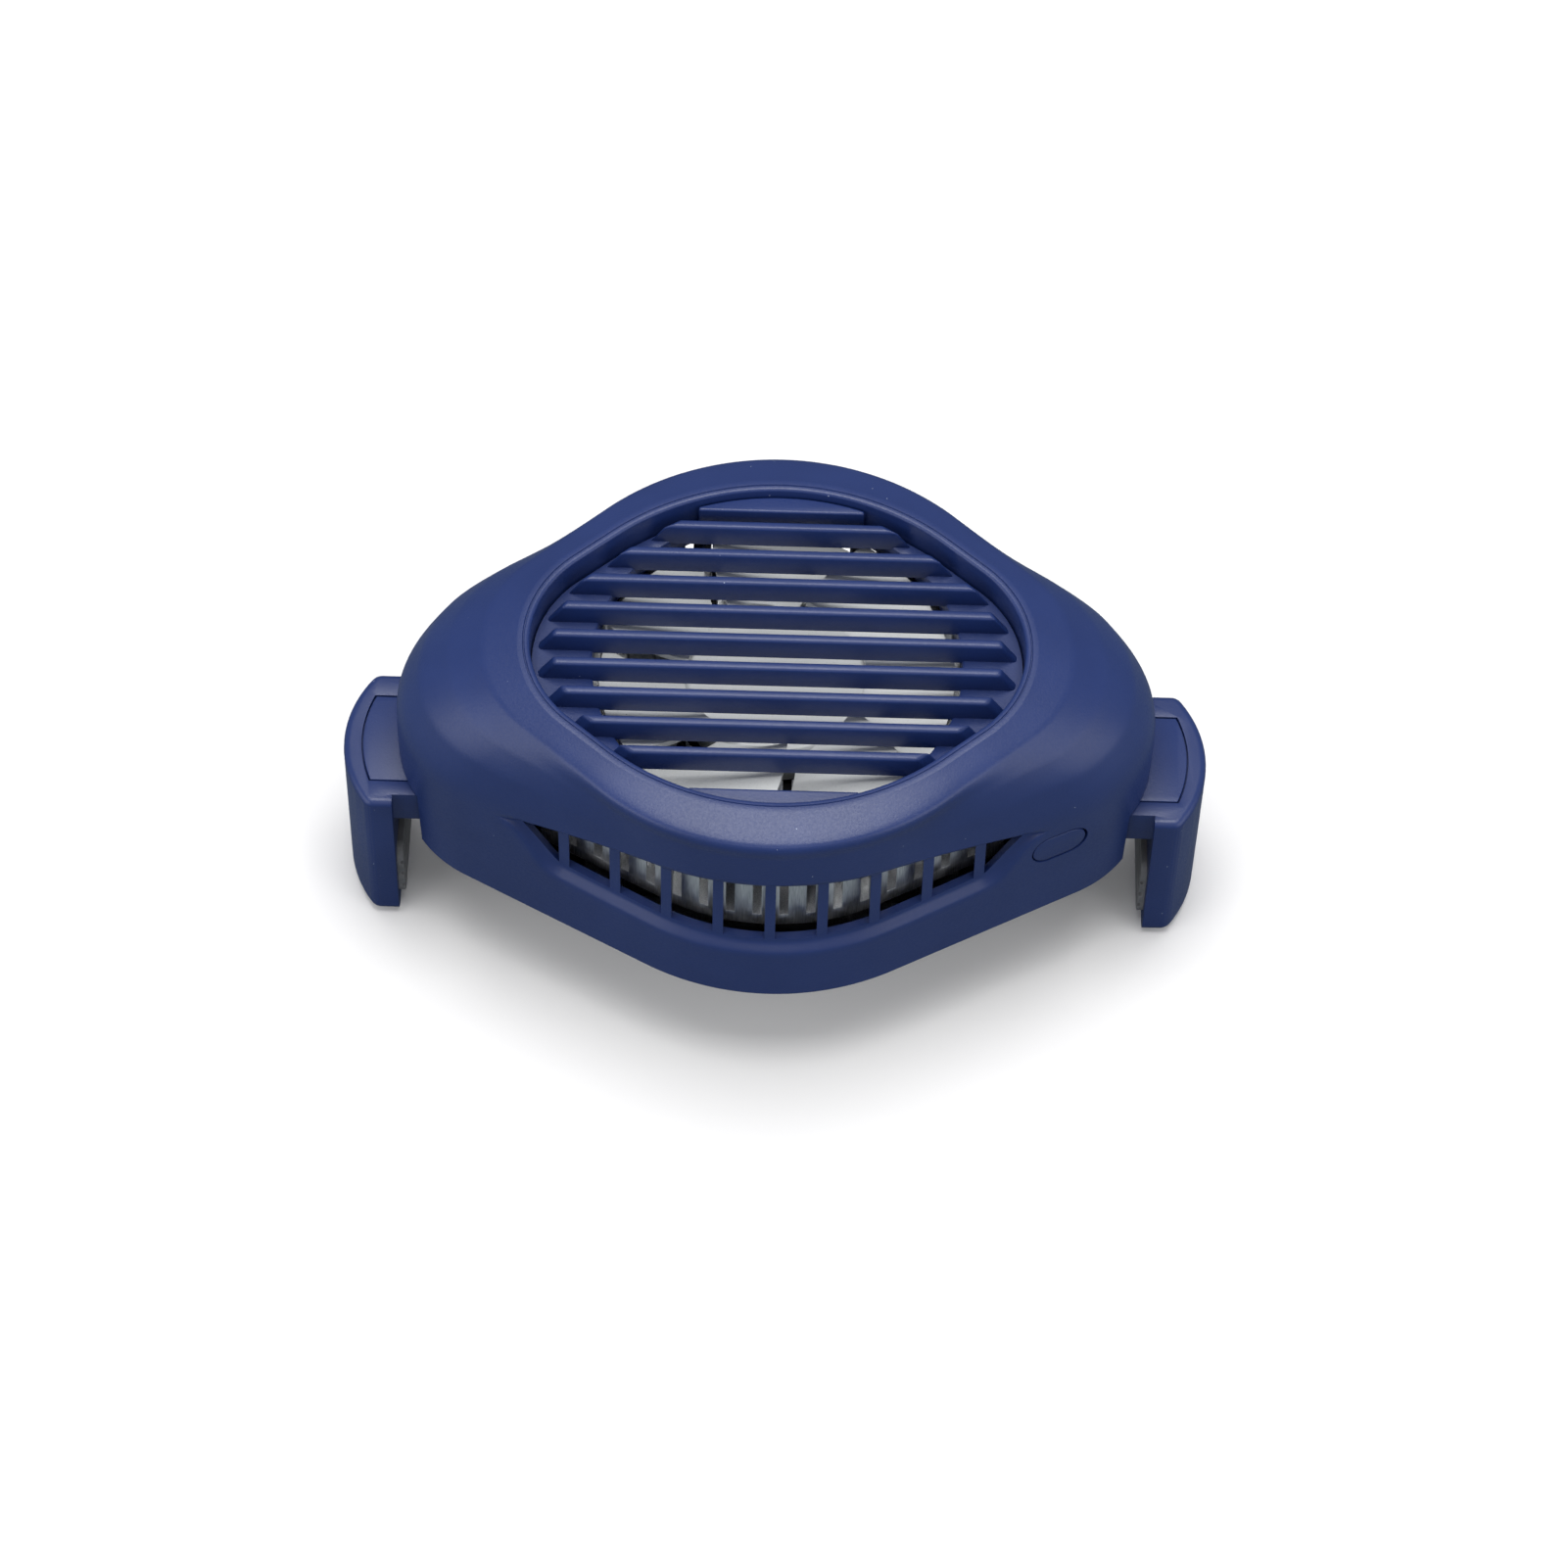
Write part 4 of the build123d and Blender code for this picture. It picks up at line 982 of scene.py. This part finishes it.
@dataclass
class Grille:
    """Sunken shelf with the round fan opening, and rounded bars across it."""

    opening: Oval = OPENING
    seam: float = 0.15
    shelf_top_z: float = 24.4
    seat_z: float = 23.4
    flange: float = 1.3
    flange_thickness: float = 1.0
    hole_radius: float = 17.6
    hole_round: float = 0.3
    bar_count: int = 9
    bar_pitch: float = 3.3
    bar_width: float = 1.0
    bar_height: float = 2.4
    bar_row_center_y: float = 1.3
    bar_root: float = 0.3
    bar_ramp: float = 1.7
    bar_end_gap: float = 0.45
    bar_round: float = 0.34
    bar_round_segments: int = 4
    bar_foot: float = 0.1
    crescent_start_y: float = 16.1
    crescent_corner: float = 0.2
    crescent_end_gap: float = 0.6
    crescent_steps: int = 20
    columns: int = 256
    smooth_deg: float = 35

    def shelf(self) -> Object:
        """The shelf: a closed ring from the round hole out to the oval and its flange."""
        inner_edge = self.opening.inset(self.seam)
        outer_edge = self.opening.inset(-self.flange)
        low_z = self.seat_z - self.flange_thickness
        places = []
        for index in range(self.columns):
            share = index / self.columns
            flank = Vector(inner_edge.point(share))
            outer = Vector(outer_edge.point(share))
            hole = flank.normalized() * self.hole_radius
            eased = flank.normalized() * (self.hole_radius + self.hole_round)
            profile = [
                (*hole, low_z),
                (*hole, self.shelf_top_z - self.hole_round),
                (*(hole + (eased - hole) * 0.3), self.shelf_top_z - self.hole_round * 0.3),
                (*eased, self.shelf_top_z),
                (*((eased + flank) / 2), self.shelf_top_z),
                (*flank, self.shelf_top_z),
                (*flank, self.seat_z),
                (*outer, self.seat_z),
                (*outer, low_z),
                (*((hole + outer) / 2), low_z),
            ]
            places.append([Vector(place) for place in profile])
        return closed_ring(places, "grille_shelf")

    def bar(self, y: float) -> Object:
        """One bar, with its ends cut along the rim, ramped down and all its upper edges rounded."""
        deselect()
        low_z = self.shelf_top_z - self.bar_root
        high_z = self.shelf_top_z + self.bar_height
        bpy.ops.mesh.primitive_cube_add(size=1.0)
        bar = bpy.context.object
        bpy.ops.object.mode_set(mode="EDIT")
        mesh = bmesh.from_edit_mesh(bar.data)
        for vertex in mesh.verts:
            side = 1 if vertex.co.x > 0 else -1
            edge_y = y + (self.bar_width / 2 if vertex.co.y > 0 else -self.bar_width / 2)
            top = vertex.co.z > 0
            half = self.opening.half_width_at(edge_y) - self.bar_end_gap - (self.bar_ramp if top else 0)
            vertex.co = Vector((side * half, edge_y, high_z if top else low_z)) * MM
        bpy.ops.mesh.select_all(action="DESELECT")
        for edge in mesh.edges:
            middle_z = sum(vertex.co.z for vertex in edge.verts) / 2
            edge.select_set(middle_z > (low_z + self.bar_foot) * MM)
        bmesh.update_edit_mesh(bar.data)
        bpy.ops.mesh.bevel(offset=self.bar_round * MM, segments=self.bar_round_segments, profile=0.5)
        bpy.ops.object.mode_set(mode="OBJECT")
        return bar

    def crescent(self, side: int) -> Object:
        """The short bar that fills the oval's front or rear end."""
        edge = self.opening.inset(self.seam)
        half = edge.half_width_at(self.crescent_start_y + self.crescent_corner) - self.crescent_end_gap
        steps = self.crescent_steps
        arc = []
        for step in range(steps + 1):
            x = -half + 2 * half * step / steps
            low, high = 0.0, edge.half_depth
            for _ in range(HALVINGS):
                middle = (low + high) / 2
                if edge.half_width_at(middle) > abs(x):
                    low = middle
                else:
                    high = middle
            arc.append((x, low))
        outline = [(-half, self.crescent_start_y), (half, self.crescent_start_y)] + list(reversed(arc))
        deselect()
        bpy.ops.mesh.primitive_circle_add(vertices=len(outline), fill_type="NGON")
        bar = bpy.context.object
        low_z = self.shelf_top_z - self.bar_root
        for vertex, (x, y) in zip(bar.data.vertices, outline):
            vertex.co = Vector((x, side * y, low_z)) * MM
        bpy.ops.object.mode_set(mode="EDIT")
        bpy.ops.mesh.select_all(action="SELECT")
        rise = (self.bar_height + self.bar_root) * MM
        bpy.ops.mesh.extrude_region_move(TRANSFORM_OT_translate={"value": (0, 0, rise)})
        bpy.ops.mesh.select_all(action="SELECT")
        bpy.ops.mesh.normals_make_consistent(inside=False)
        bpy.ops.object.mode_set(mode="OBJECT")
        settings = {
            "width": self.bar_round * MM,
            "segments": self.bar_round_segments,
            "limit_method": "ANGLE",
        }
        apply_modifier(bar, "BEVEL", settings)
        return bar

    def build(self) -> Object:
        """Builds the shelf and its bars as one piece."""
        pieces = [self.shelf(), self.crescent(-1), self.crescent(1)]
        for index in range(self.bar_count):
            steps_out = index - (self.bar_count - 1) / 2
            pieces.append(self.bar(self.bar_row_center_y + steps_out * self.bar_pitch))
        grille = join(pieces, "grille_insert_bars")
        smooth(grille, self.smooth_deg)
        return dress(grille, "grille_insert", Body.HOUSING)


@dataclass
class ClampArm:
    """One sliding clamp arm, with its cover strip and its silicone jaw pad."""

    side: Side
    edge: float = 0.18
    cap_edge: float = 0.08
    pad_edge: float = 0.12

    def build(self) -> None:
        """Rounds the edges of the arm's pieces and dresses them."""
        name = self.side.name.lower()
        body = Body[f"{self.side.name}_CLAMP"]
        widths = {
            f"{name}_arm": self.edge,
            f"{name}_arm_cap": self.cap_edge,
            f"{name}_jaw_pad": self.pad_edge,
        }
        for node, width in widths.items():
            dress(softened_copy(node, width), node, body)


@dataclass
class CarriedParts:
    """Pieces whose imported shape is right, given their finishes alone."""

    def build(self) -> None:
        """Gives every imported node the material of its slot."""
        for name, node in frame["nodes"].items():
            node.data.materials.clear()
            node.data.materials.append(material_for(slot_of(name)))


@dataclass
class SoftenedPiece:
    """A hard piece whose sharp edges are eased, as its mould or cutter leaves them."""

    node: str
    body: Body
    edge_mm: float
    segments: int = 3

    def build(self) -> None:
        """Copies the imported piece, eases its edges and dresses it."""
        dress(softened_copy(self.node, self.edge_mm, self.segments), self.node, self.body)


@dataclass
class ReturnSpring:
    """Wire spring in an arm's tongue, which the arm presses shorter against its post as it slides out; the
    copy here keeps the imported shape.
    """

    side: Side

    def build(self) -> None:
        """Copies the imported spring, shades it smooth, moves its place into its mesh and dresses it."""
        node = f"{self.side.name.lower()}_spring"
        spring = merged_copy(node)
        smooth(spring, SMOOTH_DEG)
        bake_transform(spring)
        finish(spring, node)


@dataclass(frozen=True)
class Softbox:
    """Square lamp that faces the object. Its place and side are in metres."""

    name: str
    place: tuple
    side: float
    watts: float
    aim: tuple = (0.0, 0.0, 0.01)

    def build(self) -> None:
        """Hangs the lamp."""
        data = bpy.data.lights.new(self.name, "AREA")
        data.size = self.side
        data.energy = self.watts
        lamp = bpy.data.objects.new(self.name, data)
        lamp.location = self.place
        facing = Vector(self.aim) - Vector(self.place)
        lamp.rotation_euler = facing.to_track_quat("-Z", "Y").to_euler()
        bpy.context.scene.collection.objects.link(lamp)


@dataclass
class Studio:
    """Pale floor, soft lamps and the camera that took the picture."""

    lamps: tuple = (
        Softbox("overhead_softbox", (0.0, 0.05, 0.7), 0.5, 4.6),
        Softbox("left_softbox", (-0.65, -0.3, 0.16), 0.8, 3.4),
        Softbox("right_softbox", (0.65, -0.3, 0.16), 0.8, 3.0),
        Softbox("front_fill", (0.0, -0.55, 0.5), 0.25, 0.3),
    )
    floor_size: float = 6.0
    floor_colour: str = "F4F3F2"
    world_colour: str = "E9ECF2"
    world_strength: float = 0.36
    bounce_colour: str = "6C7478"
    floor_z: float = -9.65
    target: tuple = (0.966, 2.572, 0.0)
    distance: float = 548.96
    elevation_deg: float = 56.024
    azimuth_deg: float = -0.021
    roll_deg: float = 1.615
    focal_px: float = 5657.5
    picture_px: float = 1601.0
    sensor: float = 36.0
    near_and_far: tuple = (0.01, 10.0)

    def camera(self) -> None:
        """Places the camera as the picture's perspective gives it."""
        a, e, roll = (radians(v) for v in (self.azimuth_deg, self.elevation_deg, self.roll_deg))
        back = Vector((sin(a) * cos(e), -cos(a) * cos(e), sin(e)))
        right = (-back).cross(Vector((0, 0, 1))).normalized()
        up = right.cross(-back)
        turned_right = right * cos(roll) + up * sin(roll)
        turned_up = up * cos(roll) - right * sin(roll)
        data = bpy.data.cameras.new("camera")
        data.sensor_width = self.sensor
        data.lens = self.focal_px / self.picture_px * self.sensor
        data.clip_start, data.clip_end = self.near_and_far
        camera = bpy.data.objects.new("camera", data)
        place = (Vector(self.target) + back * self.distance) * MM
        turn = Matrix((turned_right, turned_up, back)).transposed().to_4x4()
        camera.matrix_world = Matrix.Translation(place) @ turn
        bpy.context.scene.collection.objects.link(camera)
        bpy.context.scene.camera = camera

    def backdrop(self) -> None:
        """Adds the floor and the world, white where the camera sees them."""
        deselect()
        bpy.ops.mesh.primitive_plane_add(size=self.floor_size, location=(0, 0, self.floor_z * MM))
        floor = bpy.context.object
        floor.name = "floor"
        settle(floor)
        material, tree, shader = new_material("matt_paper_floor", {"Roughness": 0.9, "IOR": 1.3})
        seen = add_node(tree, "ShaderNodeLightPath").outputs["Is Camera Ray"]
        tree.links.new(mixed(tree, seen, self.bounce_colour, self.floor_colour), shader.inputs["Base Color"])
        floor.data.materials.append(material)
        world = bpy.data.worlds.new("studio")
        bpy.context.scene.world = world
        world.use_nodes = True
        tree = world.node_tree
        tree.nodes.clear()
        dimmed = {"Color": linear(self.world_colour), "Strength": self.world_strength}
        dim = add_node(tree, "ShaderNodeBackground", dimmed)
        white = add_node(tree, "ShaderNodeBackground", {"Color": (1, 1, 1, 1), "Strength": 1.0})
        path = add_node(tree, "ShaderNodeLightPath")
        seen = add_node(tree, "ShaderNodeMixShader", None, {0: path.outputs["Is Camera Ray"]})
        tree.links.new(dim.outputs[0], seen.inputs[1])
        tree.links.new(white.outputs[0], seen.inputs[2])
        add_node(tree, "ShaderNodeOutputWorld", None, {"Surface": seen.outputs[0]})

    def build(self) -> None:
        """Sets up the camera, the lamps and the floor."""
        self.camera()
        self.backdrop()
        for lamp in self.lamps:
            lamp.build()
        bpy.context.scene.view_settings.view_transform = "Standard"


def main() -> None:
    """Builds the studio and every piece."""
    logging.basicConfig(level=logging.INFO, format="%(message)s")
    Studio().build()
    CarriedParts().build()
    TopShell().build()
    Grille().build()
    for side in Side:
        ClampArm(side).build()
        ReturnSpring(side).build()
    SoftenedPiece("heat_sink", Body.HOUSING, 0.12, 2).build()
    SoftenedPiece("fan_rotor", Body.FAN, 0.2).build()
    SoftenedPiece("power_button", Body.BUTTON, 0.12).build()


if __name__ == "__main__":
    main()
